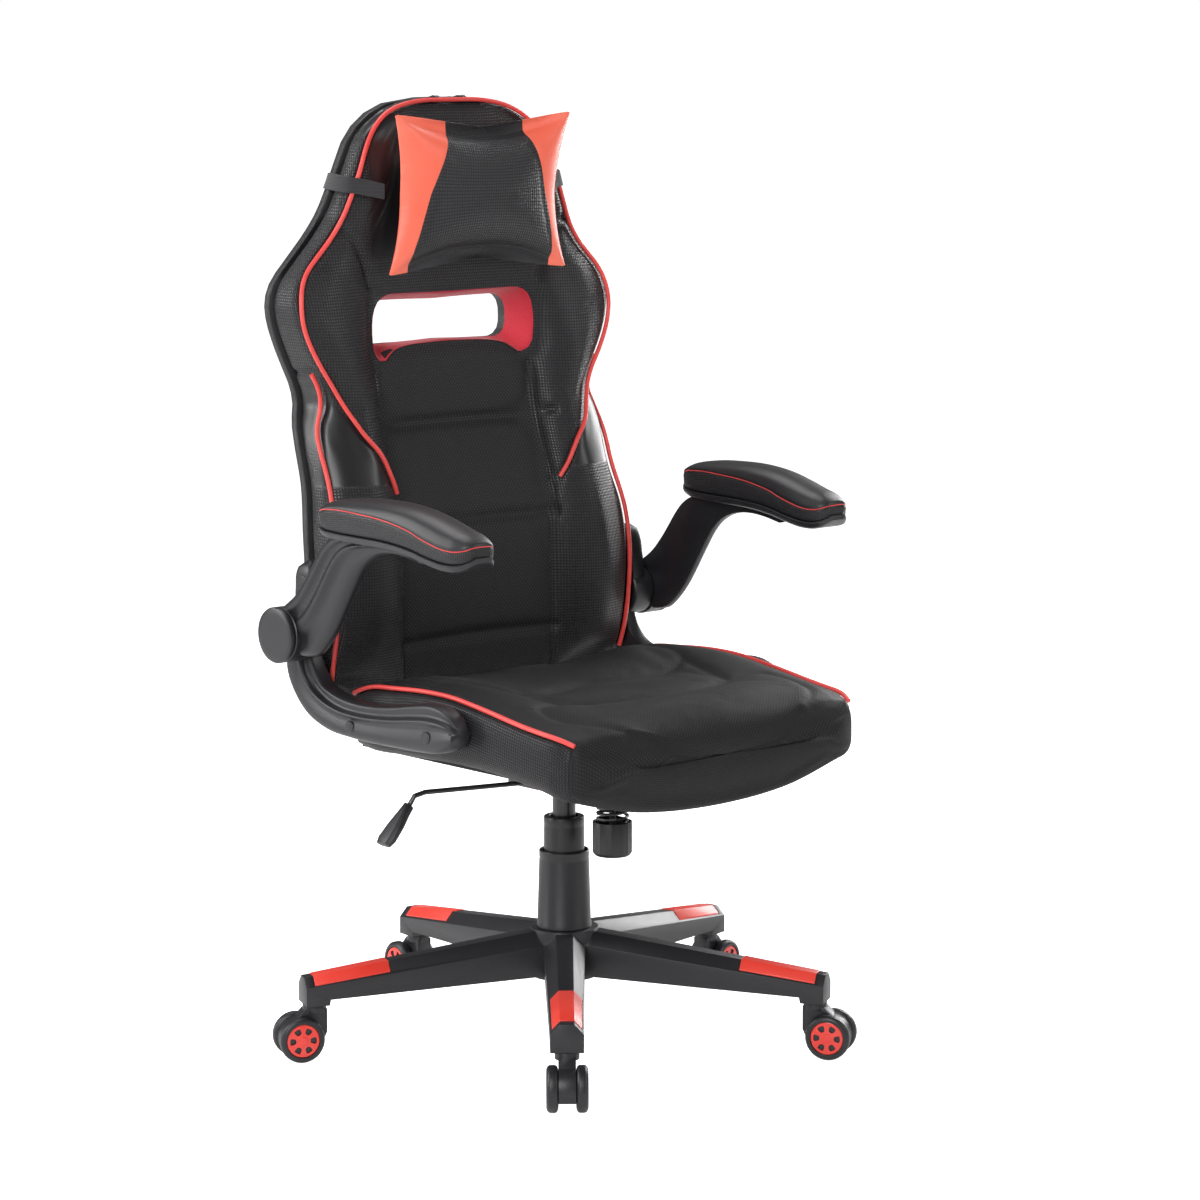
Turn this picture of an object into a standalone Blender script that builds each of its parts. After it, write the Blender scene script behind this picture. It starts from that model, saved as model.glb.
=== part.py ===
"""A racing-style swivel chair on a five-legged base, modelled as separate pieces at rest.

The sitter faces -Y, the sitter's left is +X, and the casters stand on the floor at Z = 0.
"""

import math

import bmesh
import bpy
from mathutils import Matrix, Vector

for old in list(bpy.data.objects):
    bpy.data.objects.remove(old, do_unlink=True)

# ---------------------------------------------------------------- driving sizes, in metres
GAP = 0.0003  # between pieces that rest on or in each other
RUNNING = 0.0005  # between pieces that turn or slide in each other
CLEAR = 0.003  # between pieces that pass each other

SWIVEL_X = -0.0094  # the column's place, so that the whole chair is centred on the origin
SWIVEL_Y = -0.0255

# five-legged base
LEG_COUNT = 5
FIRST_LEG_ANGLE = math.radians(-130.9)
STEM_CIRCLE = 0.310  # column to caster stem
LEG_PAST_STEM = 0.014
LEG_TIP_WIDTH = 0.038
LEG_ROOT_WIDTH = 0.048
LEG_TIP_DEPTH = 0.033
LEG_ROOT_DEPTH = 0.055
LEG_RISE = 0.036  # root above tip, along the ridge
HUB_RADIUS = 0.041
LEG_CAP_START = 0.088  # inboard end of the red cap, measured back from the stem
LEG_CAP_LENGTH = 0.091
LEG_CAP_THICK = 0.0022
LEG_SOCKET_DEPTH = 0.024

# casters
WHEEL_RADIUS = 0.027
WHEEL_WIDTH = 0.0138
WHEEL_SPACING = 0.0210  # gap between the twin wheels
WHEEL_TRAIL = 0.0195
WHEEL_SIDES = 24
AXLE_RADIUS = 0.003
STEM_RADIUS = 0.005
HOOD_WIDTH = 0.0196
HOOD_COLLAR_RADIUS = 0.014
HOOD_COLLAR_HEIGHT = 0.008

# column
TUBE_RADIUS = 0.021
TUBE_WALL = 0.0025
TUBE_TOP = 0.226
CYLINDER_RADIUS = 0.014
CYLINDER_WALL = 0.0022
CYLINDER_BOTTOM = 0.118
ROD_RADIUS = 0.005
ROD_TOP = 0.205
BEARING_HEIGHT = 0.007
LOWER_COVER_RADII = (0.033, 0.0295)  # bottom, top
LOWER_COVER_TOP = 0.229
COVER_WALL = 0.0022
MIDDLE_COVER_RADIUS = 0.0245
MIDDLE_COVER_BOTTOM = 0.180
MIDDLE_COVER_TOP = 0.270

# tilt mechanism
BOARD_BOTTOM = 0.364  # underside of the seat board
PLATE_THICK = 0.003
PLATE_SIZE = (0.200, 0.260)
TILT_AXIS_Y = 0.030  # behind the column
TILT_AXIS_DROP = 0.024  # below the seat plate
PIN_RADIUS = 0.005
HOUSING_SIZE = (0.090, 0.110)
HOUSING_DEPTH = 0.046
HOUSING_WALL = 0.003
EAR_THICK = 0.004
KNOB_Y = -0.086
KNOB_RADIUS = 0.024
KNOB_BOTTOM = 0.2355
KNOB_HEIGHT = 0.041
KNOB_WALL = 0.003
KNOB_FLUTES = 20
SPRING_RADIUS = 0.0185
SPRING_WIRE = 0.0020
SPRING_TURNS = 12
SCREW_RADIUS = 0.004
LEVER_ROD_RADIUS = 0.003
LEVER_Z = 0.3175
LEVER_REACH = 0.2260  # column to the bend in the rod
LEVER_RISE = 0.010

# seat
BOARD_LENGTH = 0.349
BOARD_INSET = 0.0252  # inside the cushion, each side
BOARD_CENTRE_Y = -0.0565
BOARD_THICK = 0.012
SEAT_HALF_WIDTH = 0.2372  # where the side brackets pass
SEAT_FRONT_Y = -0.293
SEAT_REAR_Y = 0.132  # at the sides
SEAT_REAR_BOW = 0.018  # further back in the middle

# back
BACK_BOTTOM = 0.392
BACK_HEIGHT = 0.725
WING_REACH = 0.0138  # the wings, past the seat on each side
BACK_PANEL_THICK = 0.014
BACK_PANEL_BULGE = 0.010
WINDOW_HALF_WIDTH = 0.121  # behind
WINDOW_FLARE = 0.013  # wider by this at the front, each side
WINDOW_SHARES = (0.5821, 0.6814)  # its bottom and top, up the back
WINDOW_CORNER = 0.024

# headrest pillow and its elastic strap
PILLOW_HALF_WIDTH = 0.140
PILLOW_DROP = 0.112  # its middle, below the top of the back
PILLOW_HEIGHT = 0.180
PILLOW_THICK = 0.060
PILLOW_MIDDLE_Y = 0.156
PILLOW_LEAN = 0.020  # its top end further forward
STRAP_WIDTH = 0.018
STRAP_THICK = 0.0016
STRAP_DROP = 0.012  # lower by this where it meets the pillow
STRAP_FALL = (1.0, 0.45, 0.35, 0.25, 0.0, 0.0, 0.0, 0.0, 0.0)  # shares of it along the path

# arms and side brackets
ARM_AXIS_Y = 0.165
ARM_AXIS_Z = 0.500
BRACKET_GAP = 0.0013  # seat to bracket
BRACKET_THICK = 0.0275
BARREL_PROUD = 0.004  # the bracket's barrel, past its outer face
ARM_THICK = 0.0265
PIVOT_RADIUS = 0.033
SPIGOT_RADIUS = 0.014
CAP_THICK = 0.0078
PAD_INSET = 0.0105  # its middle line at the rear, inside the arm's outer face
PAD_TOE_IN = 0.006
PAD_HALF_WIDTH = 0.0312
PAD_REAR_Y = 0.074
PAD_FRONT_Y = -0.172
PAD_BOTTOM_Z = 0.6335
PAD_THICK = 0.038
RAIL_THICK = 0.009

# ---------------------------------------------------------------- sizes that follow
COLLAR_TOP = 2 * WHEEL_RADIUS + 0.0035 + HOOD_COLLAR_HEIGHT
LEG_TIP_BOTTOM = COLLAR_TOP + RUNNING
LEG_TIP_TOP = LEG_TIP_BOTTOM + LEG_TIP_DEPTH
HUB_TOP = LEG_TIP_TOP + LEG_RISE
HUB_BOTTOM = HUB_TOP - LEG_ROOT_DEPTH - 0.004
LEG_END = STEM_CIRCLE + LEG_PAST_STEM
TUBE_BOTTOM = HUB_BOTTOM - 0.012
WHEEL_FACET = math.pi / WHEEL_SIDES
AXLE_Z = WHEEL_RADIUS * math.cos(WHEEL_FACET)

PLATE_TOP = BOARD_BOTTOM - GAP
PLATE_BOTTOM = PLATE_TOP - PLATE_THICK
TILT_AXIS_Z = PLATE_BOTTOM - TILT_AXIS_DROP
HOUSING_TOP = PLATE_BOTTOM - 0.008
HOUSING_BOTTOM = HOUSING_TOP - HOUSING_DEPTH
HOUSING_REAR_Y = HOUSING_SIZE[1] / 2 - 0.005
HOUSING_FRONT_Y = HOUSING_REAR_Y - HOUSING_SIZE[1]
FLANGE_BOTTOM = HOUSING_TOP - 0.020
FLANGE_THICK = 0.006
BOARD_TOP = BOARD_BOTTOM + BOARD_THICK
PIN_BORE = PIN_RADIUS + RUNNING
CYLINDER_TOP = HOUSING_TOP - 0.006
CYLINDER_BORE = CYLINDER_RADIUS - CYLINDER_WALL

BOARD_SIZE = (2 * (SEAT_HALF_WIDTH - BOARD_INSET), BOARD_LENGTH)
BACK_TOP = BACK_BOTTOM + BACK_HEIGHT
BACK_HALF_WIDTH = SEAT_HALF_WIDTH + WING_REACH
WINDOW_BOTTOM = BACK_BOTTOM + WINDOW_SHARES[0] * BACK_HEIGHT
WINDOW_TOP = BACK_BOTTOM + WINDOW_SHARES[1] * BACK_HEIGHT
PILLOW_CENTRE_Z = BACK_TOP - PILLOW_DROP
BRACKET_INNER = SEAT_HALF_WIDTH + BRACKET_GAP
BRACKET_OUTER = BRACKET_INNER + BRACKET_THICK
BARREL_OUTER = BRACKET_OUTER + BARREL_PROUD
ARM_OUTER = BARREL_OUTER + ARM_THICK
PAD_CENTRE_X = ARM_OUTER - PAD_INSET


# ---------------------------------------------------------------- finishes
def finish(name, colour, roughness, metallic=0.0):
    """A plain Principled material of one colour."""
    material = bpy.data.materials.new(name)
    material.use_nodes = True
    shader = material.node_tree.nodes["Principled BSDF"]
    shader.inputs["Base Color"].default_value = (*colour, 1.0)
    shader.inputs["Roughness"].default_value = roughness
    shader.inputs["Metallic"].default_value = metallic
    return material


BLACK_LEATHER = ("black_leather", (0.018, 0.018, 0.020), 0.42)
BLACK_FABRIC = ("black_fabric", (0.016, 0.016, 0.018), 0.80)
RED_LEATHER = ("red_leather", (0.85, 0.10, 0.05), 0.45)
BLACK_NYLON = ("black_nylon", (0.022, 0.022, 0.026), 0.40)
RED_PLASTIC = ("red_plastic", (0.80, 0.05, 0.03), 0.25)
BLACK_STEEL = ("black_steel", (0.03, 0.03, 0.03), 0.35, 0.9)
BRIGHT_STEEL = ("bright_steel", (0.60, 0.60, 0.62), 0.25, 1.0)
PLYWOOD = ("plywood", (0.45, 0.30, 0.17), 0.65)
ELASTIC = ("elastic_band", (0.02, 0.02, 0.02), 0.9)


# ---------------------------------------------------------------- making pieces
def axis(name, at, turn=0.0):
    """An empty on a joint's axis, under the swivel axis."""
    empty = bpy.data.objects.new(name, None)
    bpy.context.scene.collection.objects.link(empty)
    empty.empty_display_size = 0.03
    empty.location = at
    empty.rotation_euler.z = turn
    if name != "chair_frame":
        empty.parent = CHAIR
    return empty


CHAIR = axis("chair_frame", (SWIVEL_X, SWIVEL_Y, 0.0))


def piece(name, bm, look, parent, local=False, smooth=40):
    """One named object from a bmesh in chair coordinates, or in its parent's own if local."""
    bmesh.ops.recalc_face_normals(bm, faces=bm.faces[:])
    if not local:
        bmesh.ops.translate(bm, verts=bm.verts[:], vec=-Vector(parent.location))
    mesh = bpy.data.meshes.new(name)
    bm.to_mesh(mesh)
    bm.free()
    mesh.shade_smooth()
    mesh.set_sharp_from_angle(angle=math.radians(smooth))
    obj = bpy.data.objects.new(name, mesh)
    bpy.context.scene.collection.objects.link(obj)
    obj.parent = parent
    if look:
        mesh.materials.append(finish(f"{name}_{look[0]}", *look[1:]))
    return obj


def helper(name, bm, parent, local=False):
    """A shape that only cuts or joins another, left out of renders and of the build."""
    obj = piece(name, bm, None, parent, local)
    obj.hide_render = True
    obj.display_type = "WIRE"
    return obj


def combine(obj, other, operation):
    modifier = obj.modifiers.new(f"{operation.lower()}_{other.name}", "BOOLEAN")
    modifier.operation = operation
    modifier.solver = "EXACT"
    modifier.object = other


def cut(obj, cutter):
    combine(obj, cutter, "DIFFERENCE")


def join(obj, other):
    combine(obj, other, "UNION")


def soften(obj, width, segments=1, angle=35):
    """Rounds an object's sharp edges."""
    bevel = obj.modifiers.new("soft_edges", "BEVEL")
    bevel.width = width
    bevel.segments = segments
    bevel.limit_method = "ANGLE"
    bevel.angle_limit = math.radians(angle)


def lofted(rings):
    """A closed skin through rings of points that all have the same count."""
    bm = bmesh.new()
    loops = [[bm.verts.new(point) for point in ring] for ring in rings]
    for near, far in zip(loops, loops[1:]):
        for i in range(len(near)):
            j = (i + 1) % len(near)
            bm.faces.new((near[i], near[j], far[j], far[i]))
    bm.faces.new(loops[0])
    bm.faces.new(loops[-1])
    return bm


def mirrored(half):
    """A closed ring from its +X half, which starts and ends on the middle plane."""
    return half + [(-x, y, z) for x, y, z in reversed(half[1:-1])]


def block(low, high):
    bm = bmesh.new()
    bmesh.ops.create_cube(bm, size=1.0)
    size = [b - a for a, b in zip(low, high)]
    centre = [(a + b) / 2 for a, b in zip(low, high)]
    bmesh.ops.scale(bm, verts=bm.verts[:], vec=size)
    bmesh.ops.translate(bm, verts=bm.verts[:], vec=centre)
    return bm


def turned(profile, sides, ring=False):
    """A body of revolution about Z from (radius, z) points, off the axis all round if ring."""
    bm = bmesh.new()
    verts = [bm.verts.new((r, 0.0, z)) for r, z in profile]
    edges = [bm.edges.new(pair) for pair in zip(verts, verts[1:])]
    if ring:
        edges.append(bm.edges.new((verts[-1], verts[0])))
    bmesh.ops.spin(
        bm,
        geom=verts + edges,
        cent=(0.0, 0.0, 0.0),
        axis=(0.0, 0.0, 1.0),
        angle=math.tau,
        steps=sides,
        use_merge=True,
    )
    bmesh.ops.remove_doubles(bm, verts=bm.verts[:], dist=0.00002)
    return bm


def rod(radius, low, high, sides):
    """A cylinder along Z between two heights."""
    return turned([(0.0, high), (radius, high), (radius, low), (0.0, low)], sides)


def laid_along_x(bm, at=(0.0, 0.0, 0.0)):
    """Turns a body of revolution so that its +Z end points to +X, and moves it to its place."""
    bmesh.ops.rotate(bm, verts=bm.verts[:], matrix=Matrix.Rotation(math.pi / 2, 3, "Y"))
    bmesh.ops.translate(bm, verts=bm.verts[:], vec=at)
    return bm


def laid_along_y(bm, at=(0.0, 0.0, 0.0)):
    """Turns a body of revolution so that its +Z end points to -Y, and moves it to its place."""
    bmesh.ops.rotate(bm, verts=bm.verts[:], matrix=Matrix.Rotation(math.pi / 2, 3, "X"))
    bmesh.ops.translate(bm, verts=bm.verts[:], vec=at)
    return bm


def prism_x(outline, low, high):
    """An outline of (y, z) points pushed out along X between two places."""
    return lofted([[(x, y, z) for y, z in outline] for x in (low, high)])


def arc(centre, radius, start, end, steps):
    """Points of a circle's arc, in degrees, as (u, v) pairs."""
    turns = [math.radians(start + (end - start) * i / steps) for i in range(steps + 1)]
    return [(centre[0] + radius * math.cos(t), centre[1] + radius * math.sin(t)) for t in turns]


def mix(a, b, share):
    return a + (b - a) * share


def stretched(rows, low, high):
    """Station rows whose first value runs 0 to 1, with that value mapped between low and high."""
    return [(mix(low, high, row[0]), *row[1:]) for row in rows]


def smooth_rows(rows, at):
    """The values of the station rows at one place, along a smooth curve through them."""
    keys = [row[0] for row in rows]
    spot = max(i for i in range(len(rows) - 1) if at >= keys[i] or i == 0)
    before = rows[max(spot - 1, 0)]
    start = rows[spot]
    end = rows[spot + 1]
    after = rows[min(spot + 2, len(rows) - 1)]
    span = end[0] - start[0]
    t = min(max((at - start[0]) / span, 0.0), 1.0)
    values = []
    for i in range(1, len(start)):
        slope_in = (end[i] - before[i]) / (end[0] - before[0]) * span
        slope_out = (after[i] - start[i]) / (after[0] - start[0]) * span
        a = 2 * t**3 - 3 * t**2 + 1
        b = t**3 - 2 * t**2 + t
        c = -2 * t**3 + 3 * t**2
        d = t**3 - t**2
        values.append(a * start[i] + b * slope_in + c * end[i] + d * slope_out)
    return values


# ---------------------------------------------------------------- base
def leg_share(r):
    return max(0.0, (r - HUB_RADIUS) / (LEG_END - HUB_RADIUS))


def leg_section(r):
    """The leg's cross-section at a distance from the column: side, shoulder and ridge."""
    half = mix(LEG_ROOT_WIDTH, LEG_TIP_WIDTH, leg_share(r)) / 2
    top = mix(HUB_TOP - 0.002, LEG_TIP_TOP, leg_share(r))
    shoulder = top - half * 0.62
    ridge = half * 0.42
    return half, top, shoulder, ridge


def leg_ring(r, bottom):
    half, top, shoulder, ridge = leg_section(r)
    return [
        (r, -half, bottom),
        (r, half, bottom),
        (r, half, shoulder),
        (r, ridge, top),
        (r, -ridge, top),
        (r, -half, shoulder),
    ]


def leg_bottom(r):
    return mix(HUB_BOTTOM + 0.004, LEG_TIP_BOTTOM + 0.006, leg_share(r))


def cap_ring(r, grow, outside, inside):
    """A thin roof over the leg's ridge: its outer face, then its inner face back again."""
    half, top, shoulder, ridge = leg_section(r)
    reach = 0.80
    foot_y = mix(ridge, half, reach) + grow
    foot_z = mix(top, shoulder, reach)
    drop = grow * (top - shoulder) / (half - ridge)
    outer = [(foot_y, foot_z + outside - drop), (ridge, top + outside)]
    inner = [(ridge, top - inside), (foot_y, foot_z - inside - drop)]
    right = outer + inner
    ring = [(r, y, z) for y, z in right]
    left = [(r, -y, z) for y, z in reversed(right)]
    return ring[:2] + left[2:] + left[:2] + ring[2:]


def make_base():
    hub = turned(
        [(0.0, HUB_TOP), (HUB_RADIUS, HUB_TOP), (HUB_RADIUS, HUB_BOTTOM), (0.0, HUB_BOTTOM)], 30
    )
    star = piece("base_star", hub, BLACK_NYLON, CHAIR, local=True)
    cap_start = STEM_CIRCLE - LEG_CAP_START
    cap_end = cap_start + LEG_CAP_LENGTH
    socket_start = STEM_CIRCLE - LEG_PAST_STEM
    for k in range(LEG_COUNT):
        turn = FIRST_LEG_ANGLE + k * math.tau / LEG_COUNT
        leg_axis = axis(f"leg_{k + 1}_line", (0.0, 0.0, 0.0), turn)
        rings = [leg_ring(r, leg_bottom(r)) for r in (0.012, HUB_RADIUS, socket_start - 0.0012)]
        rings += [leg_ring(r, LEG_TIP_BOTTOM) for r in (socket_start, LEG_END)]
        join(star, helper(f"leg_{k + 1}_beam", lofted(rings), leg_axis, local=True))
    for k in range(LEG_COUNT):
        leg_axis = bpy.data.objects[f"leg_{k + 1}_line"]
        recess = [
            cap_ring(r, GAP, 0.012, LEG_CAP_THICK + GAP)
            for r in (cap_start - GAP, cap_end + GAP)
        ]
        cut(star, helper(f"leg_{k + 1}_cap_recess", lofted(recess), leg_axis, local=True))
        socket = rod(STEM_RADIUS + GAP, LEG_TIP_BOTTOM - 0.01, LEG_TIP_BOTTOM + LEG_SOCKET_DEPTH, 12)
        bmesh.ops.translate(socket, verts=socket.verts[:], vec=(STEM_CIRCLE, 0.0, 0.0))
        cut(star, helper(f"leg_{k + 1}_socket", socket, leg_axis, local=True))
        cap = lofted([cap_ring(r, 0.0, 0.0008, LEG_CAP_THICK) for r in (cap_start, cap_end)])
        piece(f"leg_cap_{k + 1}", cap, RED_PLASTIC, leg_axis, local=True)
    bore = rod(TUBE_RADIUS + GAP, HUB_BOTTOM - 0.01, HUB_TOP + 0.01, 32)
    cut(star, helper("column_bore", bore, CHAIR, local=True))


# ---------------------------------------------------------------- casters
def hood_outline():
    """The hood's side outline, (outward, z), with a round nose over the wheels' axle."""
    collar_bottom = COLLAR_TOP - HOOD_COLLAR_HEIGHT
    back = -HOOD_COLLAR_RADIUS + 0.001
    nose = arc((WHEEL_TRAIL, AXLE_Z), WHEEL_RADIUS * 0.88, 82, -30, 7)
    return [
        (back, collar_bottom + 0.003),
        (back, AXLE_Z + 0.006),
        (back + 0.010, AXLE_Z - WHEEL_RADIUS * 0.55),
        *reversed(nose),
        (HOOD_COLLAR_RADIUS - 0.001, collar_bottom + 0.003),
    ]


def make_casters():
    for k in range(LEG_COUNT):
        turn = FIRST_LEG_ANGLE + k * math.tau / LEG_COUNT
        at = (STEM_CIRCLE * math.cos(turn), STEM_CIRCLE * math.sin(turn), 0.0)
        swivel = axis(f"caster_{k + 1}_swivel", at, turn)
        outline = hood_outline()
        half = HOOD_WIDTH / 2
        rings = [[(u, y, z) for u, z in outline] for y in (-half, half)]
        hood = piece(f"caster_hood_{k + 1}", lofted(rings), BLACK_NYLON, swivel, local=True)
        collar = rod(HOOD_COLLAR_RADIUS, COLLAR_TOP - HOOD_COLLAR_HEIGHT - 0.001, COLLAR_TOP, 20)
        join(hood, helper(f"caster_{k + 1}_collar", collar, swivel, local=True))
        stem_low = AXLE_Z + AXLE_RADIUS + 0.008
        stem_hole = rod(STEM_RADIUS + GAP, stem_low - GAP, COLLAR_TOP + 0.01, 12)
        cut(hood, helper(f"caster_{k + 1}_stem_hole", stem_hole, swivel, local=True))
        axle_hole = laid_along_y(
            rod(AXLE_RADIUS + RUNNING, -HOOD_WIDTH, HOOD_WIDTH, 12), (WHEEL_TRAIL, 0.0, AXLE_Z)
        )
        cut(hood, helper(f"caster_{k + 1}_axle_hole", axle_hole, swivel, local=True))
        stem = rod(STEM_RADIUS, stem_low, LEG_TIP_BOTTOM + LEG_SOCKET_DEPTH - GAP, 12)
        piece(f"caster_stem_{k + 1}", stem, BRIGHT_STEEL, swivel, local=True)
        roll = axis(
            f"caster_{k + 1}_axle",
            (
                at[0] + WHEEL_TRAIL * math.cos(turn),
                at[1] + WHEEL_TRAIL * math.sin(turn),
                AXLE_Z,
            ),
            turn,
        )
        make_wheels(k + 1, roll)


def make_wheels(number, roll):
    inner = WHEEL_SPACING / 2
    outer = inner + WHEEL_WIDTH
    bore = AXLE_RADIUS + GAP
    rim = 0.0035
    profile = [
        (bore, outer - 0.0015),
        (WHEEL_RADIUS * 0.62, outer - 0.0008),
        (WHEEL_RADIUS - rim, outer - 0.0012),
        (WHEEL_RADIUS, outer - 0.0045),
        (WHEEL_RADIUS, inner + 0.0030),
        (WHEEL_RADIUS - rim, inner),
        (bore, inner),
    ]
    facet = Matrix.Rotation(WHEEL_FACET, 3, "Z")
    for side, name in ((1, "left"), (-1, "right")):
        wheel = turned(profile, WHEEL_SIDES, ring=True)
        bmesh.ops.rotate(wheel, verts=wheel.verts[:], matrix=facet)
        wheel = laid_along_y(wheel)
        if side > 0:
            bmesh.ops.rotate(wheel, verts=wheel.verts[:], matrix=Matrix.Rotation(math.pi, 3, "Z"))
        piece(f"wheel_{number}_{name}", wheel, BLACK_NYLON, roll, local=True)
    axle = laid_along_y(rod(AXLE_RADIUS, -outer + 0.004, outer - 0.004, 12))
    piece(f"wheel_axle_{number}", axle, BRIGHT_STEEL, roll, local=True)


# ---------------------------------------------------------------- column
def make_column():
    floor = TUBE_BOTTOM + 0.003
    inner = TUBE_RADIUS - TUBE_WALL
    guide = CYLINDER_RADIUS + RUNNING
    tube = [
        (TUBE_RADIUS, TUBE_TOP),
        (TUBE_RADIUS, TUBE_BOTTOM),
        (ROD_RADIUS * 0.6 + RUNNING, TUBE_BOTTOM),
        (ROD_RADIUS * 0.6 + RUNNING, floor),
        (inner, floor),
        (inner, TUBE_TOP - 0.060),
        (guide, TUBE_TOP - 0.055),
        (guide, TUBE_TOP),
    ]
    piece("column_tube", turned(tube, 32, ring=True), BLACK_STEEL, CHAIR, local=True)

    bottom, top = LOWER_COVER_RADII
    low = HUB_TOP + GAP
    cover = [
        (top - 0.001, LOWER_COVER_TOP),
        (top, LOWER_COVER_TOP - 0.001),
        (bottom, low),
        (bottom - COVER_WALL, low),
        (top - COVER_WALL, LOWER_COVER_TOP - 0.001),
        (top - COVER_WALL, LOWER_COVER_TOP),
    ]
    piece("cover_lower", turned(cover, 32, ring=True), BLACK_NYLON, CHAIR, local=True)

    outer = MIDDLE_COVER_RADIUS
    sleeve = [
        (outer - 0.0008, MIDDLE_COVER_TOP),
        (outer - 0.0008, MIDDLE_COVER_TOP - 0.002),
        (outer, MIDDLE_COVER_BOTTOM),
        (outer - COVER_WALL, MIDDLE_COVER_BOTTOM),
        (outer - COVER_WALL, MIDDLE_COVER_TOP - 0.003),
        (CYLINDER_RADIUS + 0.003, MIDDLE_COVER_TOP - 0.003),
        (CYLINDER_RADIUS + 0.003, MIDDLE_COVER_TOP),
    ]
    slide = axis("middle_cover_slide", (0.0, 0.0, MIDDLE_COVER_TOP))
    piece("cover_middle", turned(sleeve, 32, ring=True), BLACK_NYLON, slide)

    swivel = axis("column_swivel", (0.0, 0.0, TUBE_BOTTOM))
    bearing_low = floor + GAP
    bearing = [
        (inner - CLEAR, bearing_low + BEARING_HEIGHT),
        (inner - CLEAR, bearing_low),
        (ROD_RADIUS + GAP, bearing_low),
        (ROD_RADIUS + GAP, bearing_low + BEARING_HEIGHT),
    ]
    piece("thrust_bearing", turned(bearing, 24, ring=True), BRIGHT_STEEL, swivel)
    piston = CYLINDER_BORE - RUNNING
    rod_profile = [
        (0.0, ROD_TOP),
        (piston, ROD_TOP),
        (piston, ROD_TOP - 0.012),
        (ROD_RADIUS, ROD_TOP - 0.012),
        (ROD_RADIUS, floor + GAP),
        (ROD_RADIUS * 0.6, floor + GAP),
        (ROD_RADIUS * 0.6, TUBE_BOTTOM - 0.004),
        (0.0, TUBE_BOTTOM - 0.004),
    ]
    piece("piston_rod", turned(rod_profile, 20), BRIGHT_STEEL, swivel)

    lift = axis("height_slide", (0.0, 0.0, CYLINDER_TOP))
    gland = ROD_RADIUS + RUNNING
    cylinder = [
        (0.0, CYLINDER_TOP),
        (CYLINDER_RADIUS, CYLINDER_TOP),
        (CYLINDER_RADIUS, CYLINDER_BOTTOM),
        (gland, CYLINDER_BOTTOM),
        (gland, CYLINDER_BOTTOM + 0.006),
        (CYLINDER_BORE, CYLINDER_BOTTOM + 0.006),
        (CYLINDER_BORE, CYLINDER_TOP - 0.010),
        (0.0, CYLINDER_TOP - 0.010),
    ]
    piece("gas_cylinder", turned(cylinder, 28), BLACK_STEEL, lift)


# ---------------------------------------------------------------- tilt mechanism
def make_housing(lift):
    half_x = HOUSING_SIZE[0] / 2
    shell = block(
        (-half_x, HOUSING_FRONT_Y, HOUSING_BOTTOM), (half_x, HOUSING_REAR_Y, HOUSING_TOP)
    )
    housing = piece("tilt_housing", shell, BLACK_STEEL, lift)
    wall = HOUSING_WALL
    hollow = block(
        (-half_x + wall, HOUSING_FRONT_Y + wall, HOUSING_BOTTOM - 0.01),
        (half_x - wall, HOUSING_REAR_Y - wall, HOUSING_TOP - wall),
    )
    cut(housing, helper("housing_hollow", hollow, lift))
    boss = rod(CYLINDER_RADIUS + 0.006, HOUSING_BOTTOM - 0.006, HOUSING_TOP - wall / 2, 28)
    join(housing, helper("housing_boss", boss, lift))
    arm = block(
        (-0.021, KNOB_Y - 0.021, FLANGE_BOTTOM),
        (0.021, HOUSING_FRONT_Y + wall / 2, FLANGE_BOTTOM + FLANGE_THICK),
    )
    join(housing, helper("housing_flange", arm, lift))
    tube = laid_along_x(
        rod(PIN_BORE + 0.004, -half_x + wall / 2, half_x - wall / 2, 20),
        (0.0, TILT_AXIS_Y, TILT_AXIS_Z),
    )
    join(housing, helper("housing_pin_tube", tube, lift))
    pin_bore = laid_along_x(
        rod(PIN_RADIUS + GAP, -half_x - 0.01, half_x + 0.01, 20), (0.0, TILT_AXIS_Y, TILT_AXIS_Z)
    )
    cut(housing, helper("housing_pin_bore", pin_bore, lift))
    cylinder_bore = rod(CYLINDER_RADIUS + GAP, HOUSING_BOTTOM - 0.02, CYLINDER_TOP + GAP, 28)
    cut(housing, helper("housing_cylinder_bore", cylinder_bore, lift))
    screw_hole = rod(SCREW_RADIUS + CLEAR, FLANGE_BOTTOM - 0.01, FLANGE_BOTTOM + 0.02, 16)
    bmesh.ops.translate(screw_hole, verts=screw_hole.verts[:], vec=(0.0, KNOB_Y, 0.0))
    cut(housing, helper("housing_screw_hole", screw_hole, lift))
    slot = block(
        (-half_x - 0.01, -0.006, LEVER_Z - 0.007), (-half_x + wall + 0.002, 0.006, LEVER_Z + 0.009)
    )
    cut(housing, helper("housing_lever_slot", slot, lift))

    pin = laid_along_x(
        rod(PIN_RADIUS, -half_x - EAR_THICK - 0.004, half_x + EAR_THICK + 0.004, 20),
        (0.0, TILT_AXIS_Y, TILT_AXIS_Z),
    )
    piece("tilt_pin", pin, BRIGHT_STEEL, lift)


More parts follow.
